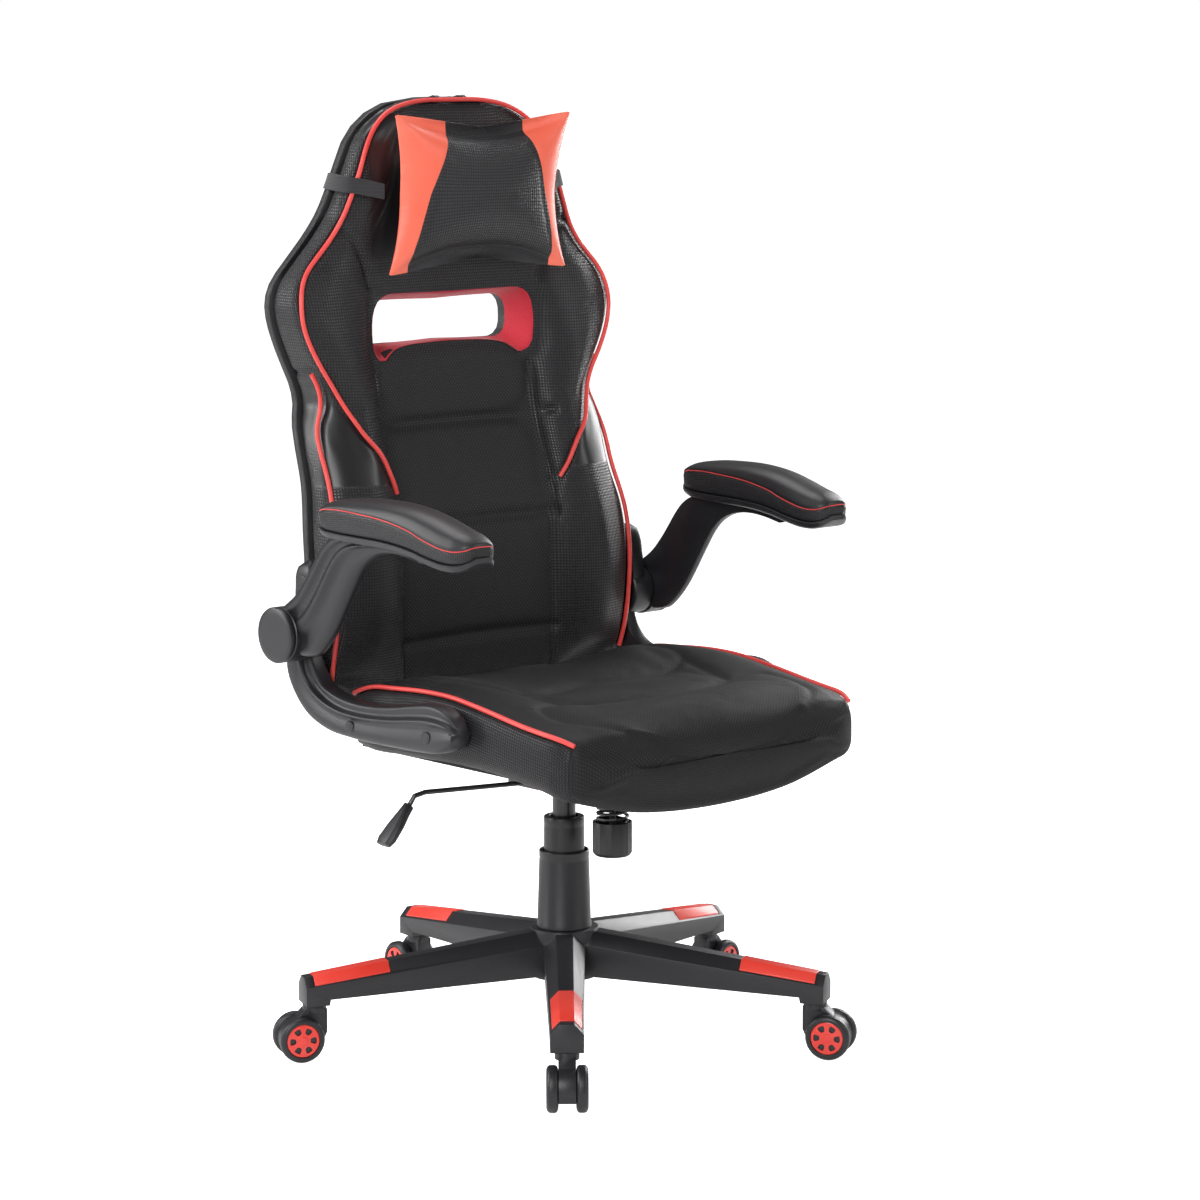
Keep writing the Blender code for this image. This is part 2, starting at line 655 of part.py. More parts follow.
def make_seat_plate(tilt):
    half_x, half_y = PLATE_SIZE[0] / 2, PLATE_SIZE[1] / 2
    plate = piece(
        "seat_plate",
        block((-half_x, -half_y, PLATE_BOTTOM), (half_x, half_y, PLATE_TOP)),
        BLACK_STEEL,
        tilt,
    )
    ear_in = HOUSING_SIZE[0] / 2 + RUNNING
    drop = TILT_AXIS_Z - 0.012
    outline = [
        (TILT_AXIS_Y - 0.030, PLATE_TOP - 0.001),
        (TILT_AXIS_Y - 0.011, drop + 0.005),
        (TILT_AXIS_Y - 0.005, drop),
        (TILT_AXIS_Y + 0.005, drop),
        (TILT_AXIS_Y + 0.011, drop + 0.005),
        (TILT_AXIS_Y + 0.030, PLATE_TOP - 0.001),
    ]
    for side, name in ((1, "left"), (-1, "right")):
        low, high = sorted((side * ear_in, side * (ear_in + EAR_THICK)))
        join(plate, helper(f"plate_ear_{name}", prism_x(outline, low, high), tilt))
    holes = laid_along_x(
        rod(PIN_BORE, -half_x, half_x, 20), (0.0, TILT_AXIS_Y, TILT_AXIS_Z)
    )
    cut(plate, helper("plate_pin_holes", holes, tilt))


def make_knob_and_spring(lift):
    spin = axis("knob_axis", (0.0, KNOB_Y, KNOB_BOTTOM))
    top = KNOB_BOTTOM + KNOB_HEIGHT
    inner = KNOB_RADIUS - KNOB_WALL
    cup = [
        (0.0, PLATE_BOTTOM - GAP),
        (SCREW_RADIUS, PLATE_BOTTOM - GAP),
        (SCREW_RADIUS, KNOB_BOTTOM + 0.012),
        (inner, KNOB_BOTTOM + 0.012),
        (inner, top),
        (KNOB_RADIUS - 0.001, top),
        (KNOB_RADIUS - 0.001, KNOB_BOTTOM + 0.004),
        (KNOB_RADIUS - 0.004, KNOB_BOTTOM),
        (0.0, KNOB_BOTTOM),
    ]
    bm = turned(cup, 2 * KNOB_FLUTES)
    for vert in bm.verts:
        radius = math.hypot(vert.co.x, vert.co.y)
        if radius > inner + 0.0003:
            flute = round(math.atan2(vert.co.y, vert.co.x) / math.tau * 2 * KNOB_FLUTES) % 2
            vert.co.x *= 1 + 0.03 * flute
            vert.co.y *= 1 + 0.03 * flute
    bmesh.ops.translate(bm, verts=bm.verts[:], vec=(0.0, KNOB_Y, 0.0))
    piece("tension_knob", bm, BLACK_NYLON, spin, smooth=20)

    low = KNOB_BOTTOM + 0.012 + SPRING_WIRE + GAP
    high = FLANGE_BOTTOM - SPRING_WIRE - GAP
    steps = 9 * SPRING_TURNS
    curve = bpy.data.curves.new("tension_spring", "CURVE")
    curve.dimensions = "3D"
    curve.bevel_depth = SPRING_WIRE
    curve.bevel_resolution = 1
    curve.use_fill_caps = True
    coil = curve.splines.new("POLY")
    coil.points.add(steps)
    for i, point in enumerate(coil.points):
        turn = math.tau * SPRING_TURNS * i / steps
        x = SPRING_RADIUS * math.cos(turn)
        y = KNOB_Y + SPRING_RADIUS * math.sin(turn)
        point.co = (x, y, mix(low, high, i / steps) - lift.location.z, 1.0)
    spring = bpy.data.objects.new("tension_spring", curve)
    bpy.context.scene.collection.objects.link(spring)
    spring.parent = lift
    curve.materials.append(finish("tension_spring_steel", *BLACK_STEEL[1:]))


def make_lever():
    start_x = -CYLINDER_RADIUS - 0.006 - CLEAR
    lock_slide = axis("lock_slide", (start_x, 0.0, LEVER_Z))
    lock = block(
        (start_x - 0.005, -0.012, LEVER_Z - 0.008), (start_x, 0.012, LEVER_Z + 0.010)
    )
    piece("lock_plate", lock, BRIGHT_STEEL, lock_slide)

    rod_start = start_x - 0.005 - RUNNING
    hinge = axis("lever_hinge", (rod_start, 0.0, LEVER_Z))
    bend = Vector((-LEVER_REACH, 0.0, LEVER_Z + LEVER_RISE))
    route = [
        Vector((rod_start, 0.0, LEVER_Z)),
        Vector((-HOUSING_SIZE[0] / 2 - 0.015, 0.0, LEVER_Z)),
        bend + Vector((0.012, 0.0, -0.0006)),
        bend + Vector((-0.004, 0.0, -0.0030)),
        bend + Vector((-0.0105, 0.0, -0.0115)),
        bend + Vector((-0.019, 0.0, -0.0205)),
    ]
    rings = []
    for i, point in enumerate(route):
        along = (route[min(i + 1, len(route) - 1)] - route[max(i - 1, 0)]).normalized()
        side = along.cross(Vector((0.0, 1.0, 0.0))).normalized()
        turns = [math.tau * j / 10 for j in range(10)]
        rings.append(
            [
                point
                + LEVER_ROD_RADIUS * (math.cos(t) * Vector((0.0, 1.0, 0.0)) + math.sin(t) * side)
                for t in turns
            ]
        )
    piece("lever_rod", lofted(rings), BLACK_STEEL, hinge)

    tip = bend + Vector((-0.0105, 0.0, -0.0115))
    down = (route[-1] - route[-2]).normalized()
    across = down.cross(Vector((0.0, 1.0, 0.0))).normalized()
    stations = ((0.002, 0.0055, 0.0055), (0.014, 0.0068, 0.0062), (0.030, 0.0115, 0.0062))
    stations += ((0.050, 0.0135, 0.0055), (0.058, 0.0110, 0.0042))
    shape = ((1, 0.45), (0.55, 1), (-0.55, 1), (-1, 0.45), (-1, -0.45), (-0.55, -1))
    shape += ((0.55, -1), (1, -0.45))
    paddle_rings = [
        [
            tip + down * along + Vector((0.0, 1.0, 0.0)) * half * u + across * thick * v
            for u, v in shape
        ]
        for along, half, thick in stations
    ]
    paddle = piece("lever_paddle", lofted(paddle_rings), BLACK_NYLON, hinge, smooth=25)
    rod_room = []
    for along in (-0.010, 0.0125):
        turns = [math.tau * j / 10 for j in range(10)]
        centre = tip + down * along
        reach = LEVER_ROD_RADIUS + GAP
        rod_room.append(
            [
                centre + reach * (math.cos(t) * Vector((0.0, 1.0, 0.0)) + math.sin(t) * across)
                for t in turns
            ]
        )
    cut(paddle, helper("paddle_socket", lofted(rod_room), hinge))


# ---------------------------------------------------------------- seat
# place along the seat (0 rear, 1 front), width share, side top, middle top, side and
# middle underside, all heights above the seat board's underside
SEAT_ROWS = [
    (0.000, 0.962, 0.058, 0.068, 0.006, 0.004),
    (0.070, 0.998, 0.070, 0.074, 0.000, 0.000),
    (0.230, 1.000, 0.082, 0.074, 0.000, 0.000),
    (0.450, 1.000, 0.085, 0.072, 0.003, 0.000),
    (0.620, 0.995, 0.076, 0.073, 0.001, -0.004),
    (0.720, 0.980, 0.070, 0.077, -0.003, -0.014),
    (0.810, 0.960, 0.064, 0.080, -0.007, -0.028),
    (0.890, 0.925, 0.056, 0.078, -0.010, -0.038),
    (0.950, 0.855, 0.045, 0.066, -0.009, -0.041),
    (0.985, 0.740, 0.030, 0.044, -0.003, -0.034),
    (1.000, 0.560, 0.014, 0.018, 0.006, -0.010),
]


def seat_ring(row):
    """A cross-section of the seat cushion across its width."""
    y, wide, side_top, mid_top, side_low, mid_low = row
    half = SEAT_HALF_WIDTH * wide
    base = BOARD_BOTTOM
    half_ring = [
        (0.0, y, base + mid_low),
        (half * 0.5, y, base + mix(mid_low, side_low, 0.25)),
        (half * 0.88, y, base + side_low),
        (half * 0.985, y, base + side_low + 0.010),
        (half, y, base + mix(side_low, side_top, 0.5)),
        (half * 0.985, y, base + side_top - 0.014),
        (half * 0.93, y, base + side_top - 0.002),
        (half * 0.76, y, base + side_top + 0.004),
        (half * 0.45, y, base + mix(side_top, mid_top, 0.6)),
        (0.0, y, base + mid_top),
    ]
    rearness = max(0.0, 1 - (SEAT_REAR_Y - y) / (SEAT_REAR_Y - SEAT_FRONT_Y) / 0.3)
    bow = SEAT_REAR_BOW * rearness
    return mirrored([(x, y + bow * (1 - (x / half) ** 2), z) for x, y, z in half_ring])


def make_seat(tilt):
    half_x, half_y = BOARD_SIZE[0] / 2, BOARD_SIZE[1] / 2
    low = (-half_x, BOARD_CENTRE_Y - half_y, BOARD_BOTTOM)
    high = (half_x, BOARD_CENTRE_Y + half_y, BOARD_TOP)
    piece("seat_board", block(low, high), PLYWOOD, tilt)
    rows = stretched(SEAT_ROWS, SEAT_REAR_Y, SEAT_FRONT_Y)
    cushion = piece(
        "seat_cushion", lofted([seat_ring(row) for row in rows]), BLACK_FABRIC, tilt, smooth=60
    )
    room = block(
        (low[0] - GAP, low[1] - GAP, BOARD_BOTTOM - 0.08),
        (high[0] + GAP, high[1] + GAP, BOARD_TOP + GAP),
    )
    cut(cushion, helper("seat_board_room", room, tilt))


# ---------------------------------------------------------------- back
# height share, half width share, rear face, edge, crest place, crest face, centre face (Y)
BACK_ROWS = [
    (0.000, 0.893, 0.203, 0.163, 0.168, 0.158, 0.163),
    (0.060, 0.932, 0.205, 0.150, 0.178, 0.143, 0.1525),
    (0.100, 0.938, 0.204, 0.142, 0.180, 0.130, 0.154),
    (0.150, 0.943, 0.202, 0.137, 0.180, 0.121, 0.157),
    (0.232, 0.944, 0.200, 0.135, 0.178, 0.119, 0.160),
    (0.300, 0.934, 0.206, 0.141, 0.172, 0.123, 0.163),
    (0.380, 0.898, 0.221, 0.158, 0.165, 0.136, 0.180),
    (0.440, 0.892, 0.234, 0.171, 0.162, 0.149, 0.195),
    (0.478, 0.868, 0.247, 0.176, 0.160, 0.156, 0.202),
    (0.505, 0.834, 0.256, 0.178, 0.162, 0.160, 0.205),
    (0.530, 0.842, 0.258, 0.178, 0.168, 0.162, 0.207),
    (0.568, 0.898, 0.256, 0.178, 0.182, 0.166, 0.209),
    (0.610, 0.958, 0.254, 0.181, 0.193, 0.170, 0.209),
    (0.650, 0.994, 0.254, 0.186, 0.199, 0.175, 0.207),
    (0.676, 0.998, 0.254, 0.190, 0.199, 0.178, 0.204),
    (0.705, 0.970, 0.253, 0.196, 0.193, 0.182, 0.202),
    (0.742, 0.885, 0.250, 0.202, 0.178, 0.188, 0.199),
    (0.777, 0.798, 0.247, 0.199, 0.158, 0.188, 0.197),
    (0.811, 0.732, 0.243, 0.193, 0.140, 0.185, 0.196),
    (0.853, 0.678, 0.239, 0.190, 0.128, 0.183, 0.195),
    (0.901, 0.626, 0.236, 0.190, 0.118, 0.185, 0.195),
    (0.949, 0.545, 0.236, 0.194, 0.100, 0.189, 0.197),
    (0.977, 0.435, 0.238, 0.200, 0.078, 0.196, 0.200),
    (0.994, 0.285, 0.238, 0.205, 0.048, 0.202, 0.205),
    (1.000, 0.140, 0.236, 0.210, 0.022, 0.209, 0.210),
]


def back_ring(row):
    """A level cross-section of the front cushion, from its flat rear to its bolstered front."""
    z, wide, rear, edge, crest_x, crest_y, centre_y = row
    half = BACK_HALF_WIDTH * wide
    rear -= BACK_PANEL_THICK
    inner = min(0.112, crest_x * 0.75)
    half_ring = [
        (0.0, rear, z),
        (half * 0.6, rear, z),
        (half - 0.004, rear, z),
        (half, mix(rear, edge, 0.15), z),
        (half, mix(rear, edge, 0.50), z),
        (half - 0.002, mix(rear, edge, 0.88), z),
        (half - 0.010, edge, z),
        (mix(half - 0.010, crest_x, 0.5), mix(edge, crest_y, 0.62), z),
        (crest_x, crest_y, z),
        (mix(inner, crest_x, 0.45), mix(centre_y, crest_y, 0.7), z),
        (inner, mix(centre_y, crest_y, 0.18), z),
        (0.0, centre_y, z),
    ]
    return mirrored(half_ring)


def panel_ring(row):
    """A level cross-section of the rear panel, flat against the cushion and bulged behind."""
    z, wide, rear = row[:3]
    half = BACK_HALF_WIDTH * wide - 0.0015
    front = rear - BACK_PANEL_THICK + GAP
    half_ring = [
        (0.0, front, z),
        (half * 0.6, front, z),
        (half, front, z),
        (half, rear - 0.005, z),
        (half * 0.94, rear, z),
        (half * 0.55, rear + BACK_PANEL_BULGE * 0.75, z),
        (0.0, rear + BACK_PANEL_BULGE, z),
    ]
    return mirrored(half_ring)


def window_outline(flare):
    """The window's rounded outline in the X-Z plane."""
    half = WINDOW_HALF_WIDTH + flare
    low = WINDOW_BOTTOM - flare * 0.4
    high = WINDOW_TOP + flare * 0.2
    corner = WINDOW_CORNER
    points = arc((half - corner, high - corner), corner, 0, 90, 4)
    points += arc((-half + corner, high - corner), corner, 90, 180, 4)
    points += arc((-half + corner, low + corner), corner, 180, 270, 4)
    points += arc((half - corner, low + corner), corner, 270, 360, 4)
    return points


def make_back(tilt):
    rows = stretched(BACK_ROWS, BACK_BOTTOM, BACK_TOP)
    cushion = piece(
        "back_cushion", lofted([back_ring(row) for row in rows]), BLACK_LEATHER, tilt, smooth=60
    )
    panel = piece(
        "back_panel", lofted([panel_ring(row) for row in rows]), BLACK_LEATHER, tilt, smooth=60
    )
    places = ((0.100, 1.6), (0.180, 1.0), (0.255, 0.0), (0.400, 0.0))
    openings = [
        [(x, y, z) for x, z in window_outline(WINDOW_FLARE * share)] for y, share in places
    ]
    window = helper("window_cut", lofted(openings), tilt)
    cut(cushion, window)
    cut(panel, window)


# height share from the middle, half width, half thickness
PILLOW_ROWS = [
    (-1.00, 0.92, 0.20),
    (-0.96, 0.99, 0.50),
    (-0.70, 0.93, 0.86),
    (-0.35, 0.89, 1.00),
    (0.00, 0.88, 1.00),
    (0.35, 0.90, 0.96),
    (0.70, 0.93, 0.80),
    (0.93, 0.97, 0.48),
    (1.00, 0.95, 0.18),
]


def pillow_ring(row):
    """A level cross-section of the pillow, thin at its ends and its front swollen."""
    share, wide, thick = row
    z = PILLOW_CENTRE_Z + share * PILLOW_HEIGHT / 2
    half = PILLOW_HALF_WIDTH * wide
    middle = PILLOW_MIDDLE_Y - PILLOW_LEAN * (share + abs(share) - 0.15) / 2
    deep = PILLOW_THICK / 2 * thick
    half_ring = [
        (0.0, middle + deep, z),
        (half * 0.5, middle + deep * 0.95, z),
        (half * 0.88, middle + deep * 0.55, z),
        (half, middle + deep * 0.12, z),
        (half, middle - deep * 0.12, z),
        (half * 0.86, middle - deep * 0.70, z),
        (half * 0.5, middle - deep * 0.97, z),
        (0.0, middle - deep, z),
    ]
    return mirrored(half_ring)


def make_pillow(tilt):
    rings = [pillow_ring(row) for row in PILLOW_ROWS]
    piece("headrest_pillow", lofted(rings), RED_LEATHER, tilt, smooth=60)


def strap_places(rows, offset, height):
    """The points of the band's path on its right half, at one height, as (x, y)."""
    wide, rear, edge, _, crest_y, _ = smooth_rows(rows, height)
    half = BACK_HALF_WIDTH * wide
    front = edge - offset
    out = half + offset
    behind = rear + offset
    bulge = rear + BACK_PANEL_BULGE + offset
    return [
        (PILLOW_HALF_WIDTH - 0.011, crest_y - 0.008 - offset),
        (half - 0.012, front - 0.001),
        (half - 0.003, front + 0.002),
        (out, edge + 0.008),
        (out, rear - 0.008),
        (out - 0.004, behind - 0.002),
        (half * 0.92, behind),
        (half * 0.5, mix(behind, bulge, 0.82)),
        (0.0, bulge),
    ]


def strap_route(rows, offset, height):
    """The band's path round the back of the head panel, from +X to -X: it falls towards the pillow."""
    right = []
    for step, share in enumerate(STRAP_FALL):
        z = height - STRAP_DROP * share
        x, y = strap_places(rows, offset, z)[step]
        right.append((x, y, z))
    return right + [(-x, y, z) for x, y, z in reversed(right[:-1])]


def make_strap(tilt):
    rows = stretched(BACK_ROWS, BACK_BOTTOM, BACK_TOP)
    levels = (PILLOW_CENTRE_Z + 0.007, PILLOW_CENTRE_Z + 0.007 + STRAP_WIDTH)
    clear = 0.0012
    paths = [
        strap_route(rows, offset, z)
        for z, offset in (
            (levels[0], clear),
            (levels[1], clear),
            (levels[1], clear + STRAP_THICK),
            (levels[0], clear + STRAP_THICK),
        )
    ]
    rings = [list(corners) for corners in zip(*paths)]
    piece("headrest_strap", lofted(rings), ELASTIC, tilt, smooth=50)


# ---------------------------------------------------------------- side brackets and arms
def from_pivot(points):
    """Outline points given from the arm's pivot, as (y, z) in chair coordinates."""
    return [(ARM_AXIS_Y + y, ARM_AXIS_Z + z) for y, z in points]


def sided(side, low, high):
    """The two X places of a slab on one side of the chair, in rising order."""
    return sorted((side * low, side * high))


def bracket_outline():
    return from_pivot(
        [
            (0.033, -0.016),
            (0.034, -0.039),
            (0.024, -0.068),
            (0.001, -0.096),
            (-0.040, -0.112),
            (-0.105, -0.118),
            (-0.180, -0.119),
            (-0.242, -0.116),
            (-0.266, -0.106),
            (-0.274, -0.086),
            (-0.264, -0.066),
            (-0.239, -0.056),
            (-0.201, -0.059),
            (-0.148, -0.074),
            (-0.098, -0.079),
            (-0.060, -0.075),
            (-0.032, -0.060),
            (-0.012, -0.040),
            (-0.006, -0.018),
        ]
    )


def upper_limb_outline():
    return from_pivot(
        [
            (0.022, 0.000),
            (0.018, 0.030),
            (0.016, 0.066),
            (0.008, 0.080),
            (-0.006, 0.083),
            (-0.016, 0.072),
            (-0.022, 0.046),
            (-0.028, 0.010),
        ]
    )


def make_bracket(side, name, tilt):
    pivot = (0.0, ARM_AXIS_Y, ARM_AXIS_Z)
    plate = prism_x(bracket_outline(), *sided(side, BRACKET_INNER, BRACKET_OUTER))
    bracket = piece(f"side_bracket_{name}", plate, BLACK_NYLON, tilt)
    limb = prism_x(
        upper_limb_outline(), *sided(side, BRACKET_INNER + 0.0004, BRACKET_OUTER - 0.004)
    )
    join(bracket, helper(f"bracket_{name}_limb", limb, tilt))
    barrel = laid_along_x(
        rod(PIVOT_RADIUS - 0.002, *sided(side, BRACKET_INNER + 0.0008, BARREL_OUTER), 28), pivot
    )
    join(bracket, helper(f"bracket_{name}_barrel", barrel, tilt))
    spigot = laid_along_x(
        rod(SPIGOT_RADIUS, *sided(side, BRACKET_INNER + 0.004, ARM_OUTER - 0.002), 20), pivot
    )
    join(bracket, helper(f"bracket_{name}_spigot", spigot, tilt))


def arm_outline():
    """The arm's side outline: round root, raked limb, knee and the rail under the pad."""
    root = arc((0.0, 0.0), PIVOT_RADIUS, 212, 372, 8)
    rail_low = PAD_BOTTOM_Z - ARM_AXIS_Z - RAIL_THICK
    return from_pivot(
        [
            *root[::-1][:1],
            (0.016, 0.029),
            (-0.010, 0.038),
            (-0.034, 0.054),
            (-0.070, 0.092),
            (-0.088, 0.110),
            (-0.100, rail_low + RAIL_THICK - 0.002),
            (-0.150, rail_low + RAIL_THICK - 0.002),
            (-0.200, rail_low + RAIL_THICK - 0.004),
            (-0.205, rail_low - 0.001),
            (-0.178, rail_low - 0.006),
            (-0.150, rail_low - 0.020),
            (-0.120, rail_low - 0.044),
            (-0.088, rail_low - 0.084),
            (-0.058, rail_low - 0.122),
            *root[:-1],
        ]
    )


def pad_centre(y):
    """The distance of the pad's middle line from the chair's middle plane."""
    return PAD_CENTRE_X - PAD_TOE_IN * (PAD_REAR_Y - y) / (PAD_REAR_Y - PAD_FRONT_Y)


def rail_rows():
    """Stations along the arm pad, rear to front: place, width share, drop of the pad's line."""
    return [
        (PAD_REAR_Y, 0.62, 0.002),
        (PAD_REAR_Y - 0.012, 0.90, 0.0),
        (PAD_REAR_Y - 0.060, 1.0, -0.001),
        (PAD_REAR_Y - 0.120, 1.0, 0.001),
        (mix(PAD_REAR_Y, PAD_FRONT_Y, 0.62), 1.0, 0.0045),
        (mix(PAD_REAR_Y, PAD_FRONT_Y, 0.80), 0.97, 0.0105),
        (PAD_FRONT_Y + 0.022, 0.88, 0.0125),
        (PAD_FRONT_Y + 0.006, 0.66, 0.0125),
        (PAD_FRONT_Y, 0.42, 0.0125),
    ]


def rail_ring(side, row):
    y, wide, drop = row
    half = (PAD_HALF_WIDTH - 0.002) * wide
    high = PAD_BOTTOM_Z - drop - RUNNING
    low = high - RAIL_THICK
    centre = side * pad_centre(y)
    return [
        (centre - half, y, high),
        (centre + half, y, high),
        (centre + half, y, mix(low, high, 0.4)),
        (centre + half * 0.7, y, low),
        (centre - half * 0.7, y, low),
        (centre - half, y, mix(low, high, 0.4)),
    ]


def pad_ring(side, row):
    y, wide, drop = row
    half = PAD_HALF_WIDTH * wide
    low = PAD_BOTTOM_Z - drop
    tall = PAD_THICK * mix(0.55, 1.0, min(1.0, (wide - 0.42) / 0.5))
    centre = side * pad_centre(y)
    shape = ((0.86, 0.0), (1.0, 0.14), (1.0, 0.55), (0.84, 0.84), (0.45, 1.0))
    right = [(centre + half * u, y, low + tall * v) for u, v in shape]
    left = [(centre - half * u, y, low + tall * v) for u, v in reversed(shape)]
    return right + left


def make_arm(side, name):
    hinge = axis(f"arm_{name}_hinge", (side * ARM_OUTER, ARM_AXIS_Y, ARM_AXIS_Z))
    pivot = (0.0, ARM_AXIS_Y, ARM_AXIS_Z)
    limb = prism_x(arm_outline(), *sided(side, BARREL_OUTER + RUNNING, ARM_OUTER))
    arm = piece(f"arm_{name}", limb, BLACK_NYLON, hinge)
    rail = lofted([rail_ring(side, row) for row in rail_rows()])
    join(arm, helper(f"arm_{name}_rail", rail, hinge))
    bore = laid_along_x(
        rod(SPIGOT_RADIUS + RUNNING, *sided(side, BARREL_OUTER - 0.01, ARM_OUTER + 0.01), 20),
        pivot,
    )
    cut(arm, helper(f"arm_{name}_bore", bore, hinge))
    pad = lofted([pad_ring(side, row) for row in rail_rows()])
    piece(f"arm_pad_{name}", pad, BLACK_LEATHER, hinge, smooth=60)
    cap = laid_along_x(
        rod(PIVOT_RADIUS, *sided(side, ARM_OUTER + GAP, ARM_OUTER + CAP_THICK), 28), pivot
    )
    soften(piece(f"pivot_cap_{name}", cap, BLACK_NYLON, hinge), 0.0015)


# ---------------------------------------------------------------- the whole chair
def main():
    make_base()
    make_casters()
    make_column()
    lift = bpy.data.objects["height_slide"]
    tilt = axis("tilt_hinge", (0.0, TILT_AXIS_Y, TILT_AXIS_Z))
    make_housing(lift)
    make_seat_plate(tilt)
    make_knob_and_spring(lift)
    make_lever()
    make_seat(tilt)
    make_back(tilt)
    make_pillow(tilt)
    make_strap(tilt)
    for side, name in ((1, "left"), (-1, "right")):
        make_bracket(side, name, tilt)
        make_arm(side, name)


main()
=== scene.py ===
# %% [markdown]
# # A racing-style gaming chair, in cells
# The engineering model holds the real sizes and every joint. This lesson dresses it: stuffed covers,
# piping, moulded nylon and steel. Each cell makes one thing and says why it is made that way.

# %% Load the frame
import math

import bpy
import numpy as np
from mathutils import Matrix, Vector


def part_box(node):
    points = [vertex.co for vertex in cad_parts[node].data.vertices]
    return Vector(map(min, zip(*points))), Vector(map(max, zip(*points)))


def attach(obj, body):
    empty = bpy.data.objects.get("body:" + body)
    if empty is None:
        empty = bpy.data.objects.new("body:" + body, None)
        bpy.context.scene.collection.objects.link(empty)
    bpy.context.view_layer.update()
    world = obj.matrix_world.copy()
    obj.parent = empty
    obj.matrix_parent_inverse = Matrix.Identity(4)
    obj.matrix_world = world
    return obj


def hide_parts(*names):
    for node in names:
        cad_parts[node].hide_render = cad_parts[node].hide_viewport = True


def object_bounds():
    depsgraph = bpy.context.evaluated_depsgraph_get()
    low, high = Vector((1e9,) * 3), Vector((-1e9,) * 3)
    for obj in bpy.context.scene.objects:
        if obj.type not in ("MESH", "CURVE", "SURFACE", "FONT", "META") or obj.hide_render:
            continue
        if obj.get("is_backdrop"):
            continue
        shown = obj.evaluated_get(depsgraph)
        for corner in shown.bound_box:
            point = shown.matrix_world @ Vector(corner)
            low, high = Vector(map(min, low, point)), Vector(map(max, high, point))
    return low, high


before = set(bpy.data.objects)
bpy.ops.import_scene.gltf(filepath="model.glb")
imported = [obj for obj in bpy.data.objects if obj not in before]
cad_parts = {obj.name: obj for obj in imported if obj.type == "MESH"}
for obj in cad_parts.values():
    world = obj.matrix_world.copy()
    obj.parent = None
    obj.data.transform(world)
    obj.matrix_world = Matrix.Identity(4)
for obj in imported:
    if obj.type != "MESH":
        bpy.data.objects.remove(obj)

CAD_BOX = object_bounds()
COLUMN_LOW, COLUMN_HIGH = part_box("gas_cylinder")
SWIVEL = Vector(((COLUMN_LOW.x + COLUMN_HIGH.x) / 2, (COLUMN_LOW.y + COLUMN_HIGH.y) / 2, 0.0))
print("the swivel axis stands at", tuple(round(v, 4) for v in SWIVEL))

# %% [markdown]
# ## Camera, floor and light
# A product is shot from far away with a long lens, so that its lines stay nearly parallel. The floor and
# wall are one pale sweep with no corner, and large soft lamps make the long highlights that show a curved
# shape.

# %% Camera
VIEW_AZIMUTH = math.radians(-42.0)
VIEW_PITCH = math.radians(8.6)
CAMERA_DISTANCE = 4.448
CAMERA_SIDE = 0.0429
CAMERA_HEIGHT = 1.2023
LENS = 114.0

forward = Vector((-math.sin(VIEW_AZIMUTH), math.cos(VIEW_AZIMUTH), 0.0))
rightward = Vector((math.cos(VIEW_AZIMUTH), math.sin(VIEW_AZIMUTH), 0.0))
camera_data = bpy.data.cameras.new("product_camera")
camera_data.lens = LENS
camera_data.sensor_width = 36.0
camera = bpy.data.objects.new("product_camera", camera_data)
bpy.context.scene.collection.objects.link(camera)
camera.location = SWIVEL - forward * CAMERA_DISTANCE + rightward * CAMERA_SIDE
camera.location.z = CAMERA_HEIGHT
aim = forward * math.cos(VIEW_PITCH) - Vector((0.0, 0.0, math.sin(VIEW_PITCH)))
camera.rotation_euler = aim.to_track_quat("-Z", "Y").to_euler()
bpy.context.scene.camera = camera
print("camera", round((camera.location - SWIVEL).length, 2), "m away")


# %% Small helpers that the whole lesson uses
def clear_selection():
    if bpy.context.object and bpy.context.object.mode != "OBJECT":
        bpy.ops.object.mode_set(mode="OBJECT")
    bpy.ops.object.select_all(action="DESELECT")


def take(obj):
    """Makes obj the only selected object, and the active one."""
    clear_selection()
    obj.select_set(True)
    bpy.context.view_layer.objects.active = obj
    return obj


def added(name, primitive, **at):
    """A new primitive under a name, with its place and size in its mesh."""
    clear_selection()
    primitive(**at)
    obj = bpy.context.object
    obj.name = name
    obj.data.name = name
    bpy.ops.object.transform_apply(location=True, rotation=True, scale=True)
    return obj


def shape(obj, kind, **settings):
    """Adds a modifier, sets it and applies it."""
    take(obj)
    modifier = obj.modifiers.new(kind.lower(), kind)
    for key, value in settings.items():
        setattr(modifier, key, value)
    bpy.ops.object.modifier_apply(modifier=modifier.name)
    return obj


def smooth(obj, angle=35):
    """Shades round stretches smooth and leaves edges over the angle sharp."""
    take(obj)
    bpy.ops.object.shade_smooth_by_angle(angle=math.radians(angle))
    return obj


def copied(obj, name):
    """A second object with a mesh of its own."""
    twin = obj.copy()
    twin.data = obj.data.copy()
    twin.name = name
    twin.data.name = name
    bpy.context.scene.collection.objects.link(twin)
    return twin


def fitted(obj, body, slot, *nodes):
    """Says which body a finished piece moves with and the nodes that it stands for; its slot is not used.
    """
    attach(obj, body)
    if nodes:
        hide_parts(*nodes)
    return obj


def mix(a, b, share):
    return a + (b - a) * share


def at_chair(obj):
    """Moves a mesh made about the swivel axis to where the chair stands."""
    for vertex in obj.data.vertices:
        vertex.co += SWIVEL
    return obj


